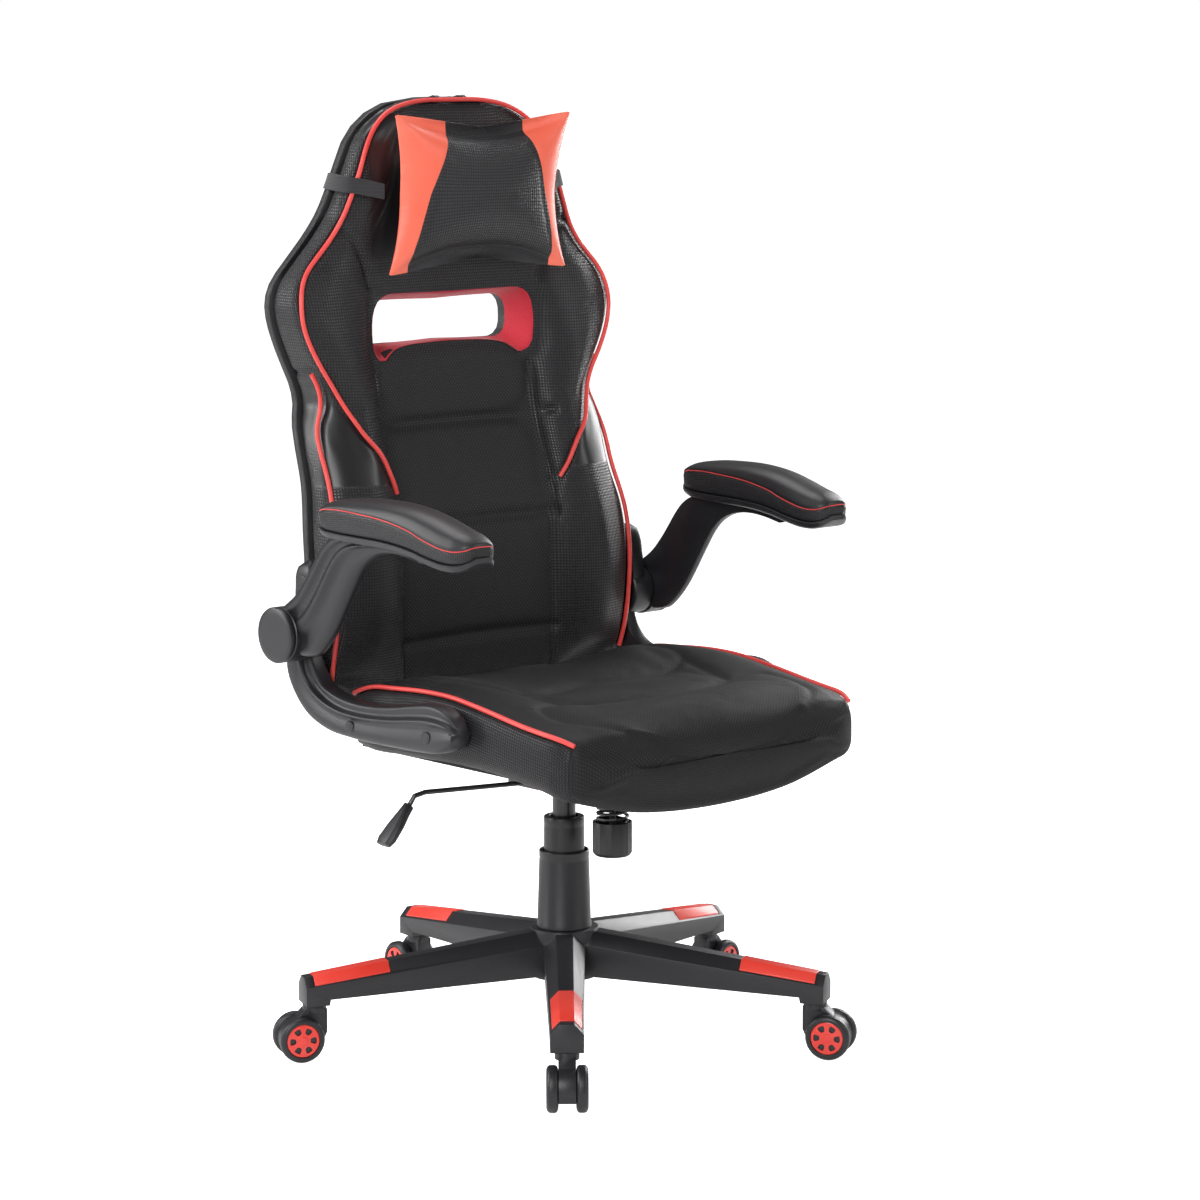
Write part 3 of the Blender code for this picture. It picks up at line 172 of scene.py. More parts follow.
# %% The floor and the lamps
floor = added("studio_floor", bpy.ops.mesh.primitive_plane_add, size=120.0, location=(0, 0, -0.0005))
take(floor)
bpy.ops.object.mode_set(mode="EDIT")
bpy.ops.mesh.select_all(action="SELECT")
bpy.ops.mesh.subdivide(number_cuts=3)
bpy.ops.object.mode_set(mode="OBJECT")
floor_paint = bpy.data.materials.new("studio_white")
floor_paint.use_nodes = True
paint = floor_paint.node_tree
paper = paint.nodes["Principled BSDF"]
paper.inputs["Base Color"].default_value = (0.90, 0.90, 0.90, 1)
paper.inputs["Roughness"].default_value = 0.9
paper.inputs["Emission Color"].default_value = (1.0, 1.0, 1.0, 1)
glow = paint.nodes.new("ShaderNodeMath")
glow.operation = "MULTIPLY_ADD"
glow.inputs[1].default_value = 0.80
glow.inputs[2].default_value = 0.20
looked_at = paint.nodes.new("ShaderNodeLightPath")
paint.links.new(looked_at.outputs["Is Camera Ray"], glow.inputs[0])
paint.links.new(glow.outputs[0], paper.inputs["Emission Strength"])
floor.data.materials.append(floor_paint)
floor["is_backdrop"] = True

LAMPS = (
    # name, where it stands, where it points, width, height, power
    ("key_lamp", (-2.9, -1.6, 2.2), (0.0, 0.0, 0.65), 0.8, 2.4, 85.0),
    ("fill_lamp", (1.6, -3.2, 2.0), (0.0, 0.0, 0.6), 1.0, 2.0, 36.0),
    ("left_edge_lamp", (-2.3, 2.0, 1.8), (0.0, 0.1, 0.7), 0.7, 2.4, 75.0),
    ("right_edge_lamp", (2.8, 0.6, 1.6), (0.0, 0.1, 0.7), 0.7, 2.4, 75.0),
    ("top_lamp", (0.2, 0.9, 3.2), (0.0, 0.0, 0.6), 1.6, 1.2, 36.0),
)
for name, place, target, width, height, power in LAMPS:
    lamp = bpy.data.lights.new(name, "AREA")
    lamp.shape = "RECTANGLE"
    lamp.size = width
    lamp.size_y = height
    lamp.energy = power
    stand = bpy.data.objects.new(name, lamp)
    bpy.context.scene.collection.objects.link(stand)
    stand.location = place
    stand.rotation_euler = (Vector(target) - Vector(place)).to_track_quat("-Z", "Y").to_euler()
world = bpy.data.worlds.new("pale_studio")
bpy.context.scene.world = world
world.use_nodes = True
sky = world.node_tree
backdrop = sky.nodes["Background"]
backdrop.inputs[0].default_value = (1.0, 1.0, 1.0, 1.0)
backdrop.inputs[1].default_value = 1.0
room = sky.nodes.new("ShaderNodeBackground")
room.inputs[0].default_value = (1.0, 1.0, 1.0, 1.0)
room.inputs[1].default_value = 0.16
seen = sky.nodes.new("ShaderNodeLightPath")
either = sky.nodes.new("ShaderNodeMixShader")
sky.links.new(seen.outputs["Is Camera Ray"], either.inputs[0])
sky.links.new(room.outputs[0], either.inputs[1])
sky.links.new(backdrop.outputs[0], either.inputs[2])
sky.links.new(either.outputs[0], sky.nodes["World Output"].inputs["Surface"])
bpy.context.scene.view_settings.view_transform = "Standard"
print(len(LAMPS), "lamps")

# %% [markdown]
# ## Finishes
# A finish is a pattern in metres: an embossed check is two sine waves multiplied, and a woven dot is the
# same product with a threshold. Node maths written as Python stays readable, so one small class wraps a
# socket and another adds nodes to one material.


# %% A socket that can be added, multiplied and compared
class Wire:
    """One value in a material's nodes, used in Python expressions."""

    def __init__(self, finish, socket):
        self.finish = finish
        self.socket = socket

    def maths(self, operation, *values, clamp=False):
        settings = {"operation": operation, "use_clamp": clamp}
        return self.finish.node("ShaderNodeMath", settings, dict(enumerate(values)))

    def __add__(self, other):
        return self.maths("ADD", self, other)

    __radd__ = __add__

    def __mul__(self, other):
        return self.maths("MULTIPLY", self, other)

    __rmul__ = __mul__

    def __sub__(self, other):
        return self.maths("SUBTRACT", self, other)

    def __rsub__(self, other):
        return self.maths("SUBTRACT", other, self)

    def __abs__(self):
        return self.maths("ABSOLUTE", self)

    def sine(self):
        return self.maths("SINE", self)

    def power(self, exponent):
        return self.maths("POWER", self, exponent)

    def step(self, low, high):
        """0 below low, 1 above high, and smooth between."""
        settings = {"interpolation_type": "SMOOTHSTEP"}
        values = {"Value": self, "From Min": low, "From Max": high}
        return self.finish.node("ShaderNodeMapRange", settings, values)


# %% One material and the method that adds its nodes
class Finish:
    """A Principled material whose varying values come from wires."""

    def __init__(self, name, colour, roughness, metallic=0.0, coat=0.0, sheen=0.0, specular=0.5):
        self.material = bpy.data.materials.new(name)
        self.material.use_nodes = True
        self.tree = self.material.node_tree
        self.shader = self.tree.nodes["Principled BSDF"]
        fixed = {
            "Base Color": (*colour, 1.0),
            "Roughness": roughness,
            "Metallic": metallic,
            "Coat Weight": coat,
            "Sheen Weight": sheen,
            "Specular IOR Level": specular,
        }
        for socket, value in fixed.items():
            self.shader.inputs[socket].default_value = value

    def node(self, kind, settings, values, output=0):
        """Adds a node: its settings first, then the values or wires of its sockets."""
        made = self.tree.nodes.new(kind)
        for key, value in settings.items():
            setattr(made, key, value)
        for socket, value in values.items():
            if isinstance(value, Wire):
                self.tree.links.new(value.socket, made.inputs[socket])
            else:
                made.inputs[socket].default_value = value
        return Wire(self, made.outputs[output])

    def feed(self, socket, wire):
        self.tree.links.new(wire.socket, self.shader.inputs[socket])

    def uv(self):
        """Metres along and across the cloth, from the piece's own map."""
        place = self.node("ShaderNodeUVMap", {"uv_map": "cloth"}, {})
        split = self.node("ShaderNodeSeparateXYZ", {}, {0: place}).socket.node
        return Wire(self, split.outputs[0]), Wire(self, split.outputs[1])

    def place(self):
        return self.node("ShaderNodeTexCoord", {}, {}, output="Object")

    def noise(self, scale, detail=2.0, stretch=(1.0, 1.0, 1.0)):
        spot = self.node("ShaderNodeMapping", {}, {"Vector": self.place(), "Scale": stretch})
        return self.node("ShaderNodeTexNoise", {}, {"Vector": spot, "Scale": scale, "Detail": detail})

    def measure(self, name):
        """A number stored on the piece's own vertices."""
        return self.node("ShaderNodeAttribute", {"attribute_name": name}, {}, output="Fac")

    def blend(self, share, first, second):
        """A colour between two others."""
        settings = {"data_type": "RGBA"}
        ends = [c if isinstance(c, Wire) else (*c, 1.0) for c in (first, second)]
        return self.node("ShaderNodeMix", settings, {0: share, 6: ends[0], 7: ends[1]}, output=2)

    def bump(self, height, distance, strength=1.0):
        values = {"Height": height, "Distance": distance, "Strength": strength}
        self.feed("Normal", self.node("ShaderNodeBump", {}, values))


def painted(obj, finish):
    """Gives a piece its material, in place of any other."""
    obj.data.materials.clear()
    obj.data.materials.append(finish.material)
    return obj


# %% [markdown]
# ### Synthetic leather with an embossed check
# Chair makers emboss black vinyl with a small check, so that it catches light like carbon cloth. The vinyl
# is one black: the finishes below paint each raised tile lighter, a painted highlight, and its grooves
# darker, painted shade.

# %% The check
CHECK = 0.0036


def tiles(finish, size):
    """Raised square tiles: 1 in the middle of each, 0 in the grooves."""
    along, across = finish.uv()
    one = abs((along * (math.pi / size)).sine())
    two = abs((across * (math.pi / size)).sine())
    return (one * two).step(0.15, 0.75)


# %% Plain black leather, for the rear panel and the arm pads
def grain_leather():
    finish = Finish("black_grain_leather", (0.012, 0.012, 0.014), 0.45)
    pebbles = finish.node(
        "ShaderNodeTexVoronoi", {"feature": "DISTANCE_TO_EDGE"}, {"Vector": finish.place(), "Scale": 650.0}
    )
    grain = pebbles.step(0.0, 0.18)
    finish.feed(
        "Base Color", finish.blend(finish.noise(14.0), (0.009, 0.009, 0.010), (0.020, 0.020, 0.023)),
    )
    finish.feed("Roughness", 0.52 - grain * 0.12)
    finish.bump(grain, 0.0003, 0.55)
    return finish


GRAIN_LEATHER = grain_leather()

# %% [markdown]
# ### Cloth with woven dots
# The seat and the middle of the back are a knitted cloth. Pale flecks stand in staggered rows: the
# product of two cosines peaks at both the corners and the middles of its cells, which is a staggered
# lattice.

# %% The dots
DOT_ACROSS = 0.0046
DOT_ALONG = 0.0054


def dots(finish, across_size=DOT_ACROSS, along_size=DOT_ALONG):
    along, across = finish.uv()
    one = (along * (math.tau / across_size) + math.pi / 2).sine()
    two = (across * (math.tau / along_size) + math.pi / 2).sine()
    return (one * two).step(0.45, 0.85)


# %% Coral leather, crimson mesh, and elastic
def coral_leather():
    finish = Finish("coral_leather", (0.74, 0.060, 0.050), 0.42)
    creases = finish.noise(38.0, 4.0, (1.0, 1.0, 2.2))
    finish.feed("Base Color", finish.blend(creases, (0.68, 0.040, 0.040), (0.80, 0.085, 0.070)))
    finish.feed("Roughness", 0.50 - creases * 0.14)
    finish.bump(creases * 0.8 + finish.noise(1200.0) * 0.12, 0.0012, 0.5)
    return finish


def crimson_mesh():
    finish = Finish("crimson_mesh", (0.50, 0.006, 0.03), 0.75, sheen=0.2)
    cell = dots(finish, 0.0042, 0.0030)
    finish.feed("Base Color", finish.blend(cell, (0.62, 0.012, 0.035), (0.26, 0.002, 0.012)))
    finish.bump(1.0 - cell, 0.0008, 0.9)
    return finish


def elastic_band():
    finish = Finish("black_elastic", (0.02, 0.02, 0.022), 0.85, sheen=0.2)
    split = finish.node("ShaderNodeSeparateXYZ", {}, {0: finish.place()}).socket.node
    ribs = abs((Wire(finish, split.outputs[2]) * (math.pi / 0.0016)).sine())
    finish.feed("Base Color", finish.blend(ribs, (0.010, 0.010, 0.011), (0.035, 0.035, 0.039)))
    finish.bump(ribs, 0.0004, 0.8)
    return finish


CORAL_LEATHER = coral_leather()
CRIMSON_MESH = crimson_mesh()
ELASTIC_BAND = elastic_band()


# %% [markdown]
# ### Moulded plastic and metal
# Glass-filled nylon leaves the mould with a fine satin texture. Red inserts are satin too. Steel is painted
# where it shows and bright where it turns.

# %% Nylon, red plastic and steels
def black_nylon():
    finish = Finish("black_moulded_nylon", (0.013, 0.013, 0.015), 0.42)
    cloud = finish.noise(6.0, 4.0)
    sparkle = finish.noise(1700.0, 1.0)
    finish.feed("Base Color", finish.blend(cloud, (0.009, 0.009, 0.011), (0.017, 0.017, 0.020)))
    finish.feed("Roughness", 0.34 + cloud * 0.14)
    finish.bump(sparkle, 0.00018, 0.5)
    return finish


def red_plastic():
    finish = Finish("red_moulded_plastic", (0.80, 0.04, 0.025), 0.40, coat=0.08)
    cloud = finish.noise(20.0, 3.0)
    finish.feed("Base Color", finish.blend(cloud, (0.76, 0.035, 0.022), (0.86, 0.065, 0.040)))
    finish.feed("Roughness", 0.36 + cloud * 0.14)
    finish.bump(finish.noise(1300.0), 0.0001, 0.35)
    return finish


def painted_steel():
    finish = Finish("black_painted_steel", (0.018, 0.018, 0.020), 0.34, coat=0.15)
    cloud = finish.noise(11.0, 3.0)
    finish.feed("Roughness", 0.28 + cloud * 0.18)
    finish.bump(finish.noise(420.0, 2.0), 0.0002, 0.35)
    return finish


def bright_steel():
    finish = Finish("bright_turned_steel", (0.60, 0.60, 0.62), 0.24, metallic=1.0)
    turned = finish.noise(260.0, 2.0, (1.0, 1.0, 12.0))
    finish.feed("Roughness", 0.18 + turned * 0.18)
    return finish


NYLON = black_nylon()
RED_PLASTIC = red_plastic()
PAINTED_STEEL = painted_steel()
BRIGHT_STEEL = bright_steel()
print(len(bpy.data.materials), "materials so far")

# %% [markdown]
# ## Sewn covers
# A cover is cut flat, sewn into a closed sleeve and stuffed. Here it is made in that order: a flat grid
# is rolled up through a table of cross-sections, its edges are welded, and its pattern is measured in
# metres before that.


# %% From stations to a closed sleeve
def curved(stations, places):
    """Station values at many places, on a smooth curve through them."""
    table = np.asarray(stations, dtype=float)
    keys, values = table[:, 0], table[:, 1:]
    slopes = np.gradient(values, keys, axis=0)
    places = np.clip(places, keys[0], keys[-1])
    spot = np.clip(np.searchsorted(keys, places, side="right") - 1, 0, len(keys) - 2)
    span = (keys[spot + 1] - keys[spot])[:, None]
    t = (places[:, None] - keys[spot][:, None]) / span
    start, end = values[spot], values[spot + 1]
    rise = (t**3 - 2 * t**2 + t) * slopes[spot] + (t**3 - t**2) * slopes[spot + 1]
    return start + (3 * t**2 - 2 * t**3) * (end - start) + rise * span


def rounded_rings(corners, counts):
    """Smooth closed rings through rows of corner points, with counts[k] steps after corner k."""
    ahead = np.roll(corners, -1, axis=1)
    along = ahead - np.roll(corners, 1, axis=1)
    along /= np.linalg.norm(along, axis=2, keepdims=True) + 1e-12
    columns = []
    for k, count in enumerate(counts):
        start, end = corners[:, k], ahead[:, k]
        length = np.linalg.norm(end - start, axis=1, keepdims=True)
        leave = along[:, k] * length
        arrive = np.roll(along, -1, axis=1)[:, k] * length
        for t in np.arange(count) / count:
            here = start + (3 * t**2 - 2 * t**3) * (end - start)
            columns.append(here + (t**3 - 2 * t**2 + t) * leave + (t**3 - t**2) * arrive)
    columns.append(corners[:, 0])
    return np.stack(columns, axis=1)


def mirrored(half_rings):
    """Half rings from the rear's middle to the front's middle, completed on the other side."""
    other = half_rings[:, -2:0:-1] * np.array([-1.0, 1.0, 1.0])
    return np.concatenate([half_rings, other], axis=1)


def sleeve(name, rows, origin_column=0, capped=True):
    """A grid rolled up through rows of points, welded, with its cloth map in metres."""
    rows = np.asarray(rows, dtype=float)
    tall, wide = rows.shape[:2]
    clear_selection()
    bpy.ops.mesh.primitive_grid_add(x_subdivisions=wide - 1, y_subdivisions=tall - 1, size=1.0)
    sheet = bpy.context.object
    sheet.name = sheet.data.name = name
    mesh = sheet.data
    across = np.linalg.norm(np.diff(rows, axis=1), axis=2)
    across = np.concatenate([np.zeros((tall, 1)), np.cumsum(across, axis=1)], axis=1)
    across -= across[:, origin_column : origin_column + 1]
    along = np.linalg.norm(np.diff(rows[:, origin_column], axis=0), axis=1)
    along = np.concatenate([[0.0], np.cumsum(along)])
    flat = np.stack([across, np.repeat(along[:, None], wide, axis=1)], axis=2).reshape(-1, 2)
    mesh.vertices.foreach_set("co", rows.reshape(-1))
    corners = np.zeros(len(mesh.loops), dtype=np.int32)
    mesh.loops.foreach_get("vertex_index", corners)
    while mesh.uv_layers:
        mesh.uv_layers.remove(mesh.uv_layers[0])
    cloth_map = mesh.uv_layers.new(name="cloth")
    cloth_map.data.foreach_set("uv", flat[corners].reshape(-1))
    take(sheet)
    bpy.ops.object.mode_set(mode="EDIT")
    bpy.ops.mesh.select_all(action="SELECT")
    bpy.ops.mesh.remove_doubles(threshold=0.00002)
    if capped:
        bpy.ops.mesh.select_all(action="DESELECT")
        bpy.ops.mesh.select_mode(type="VERT")
        bpy.ops.mesh.select_non_manifold(extend=False)
        bpy.ops.mesh.fill_holes(sides=0)
    bpy.ops.mesh.select_all(action="SELECT")
    bpy.ops.mesh.normals_make_consistent(inside=False)
    bpy.ops.object.mode_set(mode="OBJECT")
    smooth(sheet, 60)
    return sheet


def points_of(obj):
    found = np.zeros(len(obj.data.vertices) * 3)
    obj.data.vertices.foreach_get("co", found)
    return found.reshape(-1, 3)


def normals_of(obj):
    found = np.zeros(len(obj.data.vertices) * 3)
    obj.data.vertices.foreach_get("normal", found)
    return found.reshape(-1, 3)


def set_points(obj, points):
    obj.data.vertices.foreach_set("co", np.ascontiguousarray(points).reshape(-1))
    obj.data.update()


def stored(obj, name, values):
    """Keeps one number per vertex for the finish to read."""
    old = obj.data.attributes.get(name)
    if old:
        obj.data.attributes.remove(old)
    layer = obj.data.attributes.new(name, "FLOAT", "POINT")
    layer.data.foreach_set("value", np.asarray(values, dtype=np.float32))


# %% [markdown]
# A stuffed cover swells between its seams, and the seams hold it. Cloth simulation does that honestly:
# pressure pushes outwards, the pinned seams stay, and no point may move further than its filling would
# let it.


# %% Filling, seams and lines on a surface
def resampled(line, step):
    """Points every step along a polyline, on a smooth curve."""
    line = np.asarray(line, dtype=float)
    length = np.concatenate([[0.0], np.cumsum(np.linalg.norm(np.diff(line, axis=0), axis=1))])
    count = max(int(round(length[-1] / step)), 2)
    return curved(np.column_stack([length, line]), np.linspace(0.0, length[-1], count + 1))


def laid_on(obj, line, step=0.006):
    """A line moved to the nearest points of a surface."""
    return np.array([obj.closest_point_on_mesh(Vector(p))[1] for p in resampled(line, step)])


def distance_to(points, lines):
    """Distance from each point to the nearest of several polylines."""
    best = np.full(len(points), 1.0)
    for line in lines:
        for start, end in zip(line[:-1], line[1:]):
            run = end - start
            share = np.clip((points - start) @ run / (run @ run + 1e-15), 0.0, 1.0)
            best = np.minimum(best, np.linalg.norm(points - start - share[:, None] * run, axis=1))
    return best


def swollen(obj, held, limit, pressure=4.0, frames=20):
    """Blows a cover up: held points stay, and no other moves further than the limit."""
    rest = points_of(obj)
    group = obj.vertex_groups.new(name="held")
    for index in np.nonzero(held > 0.01)[0]:
        group.add([int(index)], float(held[index]), "REPLACE")
    take(obj)
    filling = obj.modifiers.new("filling", "CLOTH")
    filling.settings.use_pressure = True
    filling.settings.uniform_pressure_force = pressure
    filling.settings.vertex_group_mass = "held"
    filling.settings.effector_weights.gravity = 0.0
    filling.settings.tension_stiffness = 12.0
    filling.settings.compression_stiffness = 12.0
    filling.settings.bending_stiffness = 0.4
    filling.point_cache.frame_start = 1
    filling.point_cache.frame_end = frames
    for moment in range(1, frames + 1):
        bpy.context.scene.frame_set(moment)
    bpy.ops.object.modifier_apply(modifier="filling")
    bpy.context.scene.frame_set(1)
    moved = points_of(obj) - rest
    far = np.linalg.norm(moved, axis=1, keepdims=True)
    moved *= limit * np.tanh(far / limit) / (far + 1e-12)
    set_points(obj, rest + moved)
    obj.vertex_groups.clear()
    print(obj.name, "swelled by up to", round(float(far.max()) * 1000, 1), "mm, kept to", limit * 1000)
    return obj


def sewn(obj, lines, depth, width):
    """Draws the surface in along seam lines."""
    points = points_of(obj)
    near = np.exp(-((distance_to(points, lines) / width) ** 2))
    set_points(obj, points - normals_of(obj) * (depth * near)[:, None])
    return obj


def tube(name, line, radius, sides=10, closed=False, flat=1.0, up=None):
    """A round cord along a line, such as the piping sewn into a seam."""
    line = np.asarray(line, dtype=float)
    if closed:
        ahead, behind = np.roll(line[:-1], -1, axis=0), np.roll(line[:-1], 1, axis=0)
        along = ahead - behind
        along = np.vstack([along, along[:1]])
    else:
        along = np.gradient(line, axis=0)
    along /= np.linalg.norm(along, axis=1, keepdims=True)
    side = np.cross(along[0], (0.13, 0.2, 1.0) if up is None else up)
    rows = []
    for spot, way in zip(line, along):
        side = side - way * (side @ way)
        side /= np.linalg.norm(side)
        other = np.cross(way, side)
        turn = np.linspace(0.0, math.tau, sides + 1)[:, None]
        rows.append(spot + radius * (np.cos(turn) * side + flat * np.sin(turn) * other))
    if closed:
        rows[-1] = rows[0]
    return sleeve(name, rows, capped=not closed)


# %% [markdown]
# ## The back
# The back is one tall foam block in a shaped cover: a waist at the hips, wings at the shoulders and a
# narrow head. Its sections are level rings. The rear is flat against the rear panel, the bolsters stand
# forward at the sides, and the middle is a shallow valley.

# %% The back cover's sections
BACK_LOW, BACK_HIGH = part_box("back_cushion")
BACK_HALF_WIDTH = (BACK_HIGH.x - BACK_LOW.x) / 2
BACK_STATIONS = (
    # height share, half width share, rear face, edge, crest place, crest face, middle face (Y)
    (0.000, 0.893, 0.203, 0.163, 0.168, 0.158, 0.163),
    (0.060, 0.932, 0.205, 0.150, 0.178, 0.143, 0.1525),
    (0.100, 0.938, 0.204, 0.142, 0.180, 0.130, 0.154),
    (0.150, 0.943, 0.202, 0.137, 0.180, 0.121, 0.157),
    (0.232, 0.944, 0.200, 0.135, 0.178, 0.119, 0.160),
    (0.300, 0.934, 0.206, 0.141, 0.172, 0.123, 0.163),
    (0.380, 0.898, 0.221, 0.158, 0.165, 0.136, 0.180),
    (0.440, 0.892, 0.234, 0.171, 0.162, 0.149, 0.195),
    (0.478, 0.868, 0.247, 0.176, 0.160, 0.156, 0.202),
    (0.505, 0.834, 0.256, 0.178, 0.162, 0.160, 0.205),
    (0.530, 0.842, 0.258, 0.178, 0.168, 0.162, 0.207),
    (0.568, 0.898, 0.256, 0.178, 0.182, 0.166, 0.209),
    (0.610, 0.958, 0.254, 0.181, 0.193, 0.170, 0.209),
    (0.650, 0.994, 0.254, 0.186, 0.199, 0.175, 0.207),
    (0.676, 0.998, 0.254, 0.190, 0.199, 0.178, 0.204),
    (0.705, 0.970, 0.253, 0.196, 0.193, 0.182, 0.202),
    (0.742, 0.885, 0.250, 0.202, 0.178, 0.188, 0.199),
    (0.777, 0.798, 0.247, 0.199, 0.158, 0.188, 0.197),
    (0.811, 0.732, 0.243, 0.193, 0.140, 0.185, 0.196),
    (0.853, 0.678, 0.239, 0.190, 0.128, 0.183, 0.195),
    (0.901, 0.626, 0.236, 0.190, 0.118, 0.185, 0.195),
    (0.949, 0.545, 0.236, 0.194, 0.100, 0.189, 0.197),
    (0.977, 0.435, 0.238, 0.200, 0.078, 0.196, 0.200),
    (0.994, 0.285, 0.238, 0.205, 0.048, 0.202, 0.205),
    (1.000, 0.140, 0.236, 0.210, 0.022, 0.209, 0.210),
)
PANEL_THICK = 0.014
PANEL_BULGE = 0.010
BACK_ROWS = 112


def back_heights():
    """Shares of the height, closer together under the head's crown."""
    even = np.linspace(0.0, 1.0, BACK_ROWS)
    return np.where(even < 0.9, even, 0.9 + 0.1 * np.sin((even - 0.9) / 0.1 * math.pi / 2))


def back_half_rings():
    """Corner points of each level section on the sitter's left, from rear middle round to front middle."""
    share = back_heights()
    wide, rear, edge, crest_x, crest_y, middle_y = curved(BACK_STATIONS, share).T
    height = BACK_LOW.z + share * (BACK_HIGH.z - BACK_LOW.z)
    half = BACK_HALF_WIDTH * wide
    rear = rear - PANEL_THICK
    inner = np.minimum(0.112, crest_x * 0.75)
    zero = np.zeros_like(half)
    corners = (
        (zero, rear),
        (half * 0.6, rear),
        (half - 0.004, rear),
        (half, mix(rear, edge, 0.15)),
        (half, mix(rear, edge, 0.50)),
        (half - 0.002, mix(rear, edge, 0.88)),
        (half - 0.010, edge),
        (mix(half - 0.010, crest_x, 0.5), mix(edge, crest_y, 0.62)),
        (crest_x, crest_y),
        (mix(inner, crest_x, 0.45), mix(middle_y, crest_y, 0.7)),
        (inner, mix(middle_y, crest_y, 0.18)),
        (zero, middle_y),
    )
    return np.stack([np.stack([x, y, height], axis=1) for x, y in corners], axis=1)


HALF_STEPS = (8, 6, 1, 3, 3, 2, 5, 5, 7, 7, 15)
BACK_STEPS = HALF_STEPS + HALF_STEPS[::-1]
back_rows = rounded_rings(mirrored(back_half_rings()), BACK_STEPS)
BACK_FRONT_COLUMN = sum(HALF_STEPS)
back_cover = sleeve("back_cushion_cover", back_rows + np.array(SWIVEL), BACK_FRONT_COLUMN)
print("back cover:", len(back_cover.data.vertices), "points")


# %% [markdown]
# ### Where the back is sewn
# Red piping runs from the middle panel up the inside of each wing, over the head and down the other side.
# A second length edges each hip bolster. Plain seams divide the middle panel and cut the head panel from
# the wings.

# %% The back's seam lines
WING_PIPING = (
    (0.136, 0.1585, 0.652), (0.141, 0.158, 0.660), (0.155, 0.157, 0.691), (0.167, 0.162, 0.715),
    (0.184, 0.166, 0.745), (0.204, 0.171, 0.774), (0.222, 0.175, 0.804), (0.236, 0.179, 0.834),
    (0.241, 0.185, 0.859), (0.240, 0.189, 0.876), (0.233, 0.197, 0.900), (0.221, 0.204, 0.915),
    (0.211, 0.203, 0.927), (0.187, 0.199, 0.956), (0.174, 0.191, 0.981), (0.166, 0.190, 0.998),
    (0.161, 0.189, 1.011), (0.151, 0.187, 1.035), (0.144, 0.190, 1.052), (0.127, 0.195, 1.080),
    (0.100, 0.203, 1.099), (0.062, 0.204, 1.110), (0.030, 0.205, 1.1145), (0.0, 0.205, 1.116),
)
HIP_PIPING = (
    (0.2165, 0.196, 0.800), (0.2170, 0.194, 0.770), (0.2185, 0.190, 0.732), (0.2210, 0.178, 0.705),
    (0.2245, 0.160, 0.667), (0.230, 0.143, 0.610), (0.234, 0.135, 0.565), (0.236, 0.133, 0.527),
    (0.235, 0.136, 0.500), (0.235, 0.139, 0.480), (0.234, 0.145, 0.456), (0.233, 0.150, 0.430),
)
MIDDLE_SEAM = ((0.116, 0.15, 0.400), (0.116, 0.15, 0.500), (0.117, 0.15, 0.600), (0.121, 0.16, 0.650),
               (0.120, 0.18, 0.700), (0.118, 0.19, 0.740), (0.115, 0.19, 0.790))
CROSS_SEAM_HEIGHTS = (0.472, 0.615, 0.742)
HEAD_SEAM = (
    (0.182, 0.18, 0.968), (0.166, 0.18, 0.957), (0.151, 0.18, 0.941), (0.139, 0.18, 0.921),
    (0.128, 0.18, 0.900),
)
HIP_GUSSET = ((0.2165, 0.196, 0.800), (0.214, 0.215, 0.7995), (0.209, 0.235, 0.799))


def both_sides(line):
    """A line in chair coordinates and its mirror image, both in world coordinates."""
    line = np.asarray(line, dtype=float)
    place = np.array(SWIVEL)
    return [line + place, line * np.array([-1.0, 1.0, 1.0]) + place]


def on_back(lines):
    return [laid_on(back_cover, line) for line in lines]


over_head = [*WING_PIPING, *((-x, y, z) for x, y, z in WING_PIPING[-2::-1])]
wing_line = laid_on(back_cover, np.array(over_head) + np.array(SWIVEL))
hip_lines = on_back(both_sides(HIP_PIPING))
middle_lines = on_back(both_sides(MIDDLE_SEAM))
cross_lines = on_back(
    [np.array([(-0.118, 0.15, z - 0.002), (0.0, 0.15, z), (0.118, 0.15, z - 0.002)]) + np.array(SWIVEL)
     for z in CROSS_SEAM_HEIGHTS]
)
head_lines = on_back(both_sides(HEAD_SEAM))
gusset_lines = on_back(both_sides(HIP_GUSSET))
back_seams = [wing_line, *hip_lines, *middle_lines, *cross_lines, *head_lines, *gusset_lines]
print(len(back_seams), "seam lines on the back")


# %% Stuff the back
def sunk(obj, held, depth):
    """Starts a cover smaller between its seams, for the filling to swell."""
    set_points(obj, points_of(obj) - normals_of(obj) * (depth * (1.0 - held))[:, None])


seam_gap = distance_to(points_of(back_cover), back_seams)
rear_face = np.abs(normals_of(back_cover)[:, 1] - 1.0) < 0.08
back_held = np.clip(np.maximum(np.exp(-((seam_gap / 0.008) ** 2)), rear_face * 1.0), 0.0, 1.0)
sunk(back_cover, back_held, 0.004)
swollen(back_cover, back_held, 0.007)
shape(back_cover, "SUBSURF", levels=1, render_levels=1)

# %% Draw the seams in
sewn(back_cover, [wing_line, *hip_lines], 0.0045, 0.0075)
sewn(back_cover, [*middle_lines, *head_lines, *gusset_lines], 0.0060, 0.0065)
sewn(back_cover, cross_lines, 0.0070, 0.0070)
print("seams drawn in")

# %% [markdown]
# ### The window
# A window is cut through the back under the head. Its walls are lined with crimson mesh, which shows as a
# band inside the hole, and as a triangle at each lower corner, beside the round top of the middle panel.


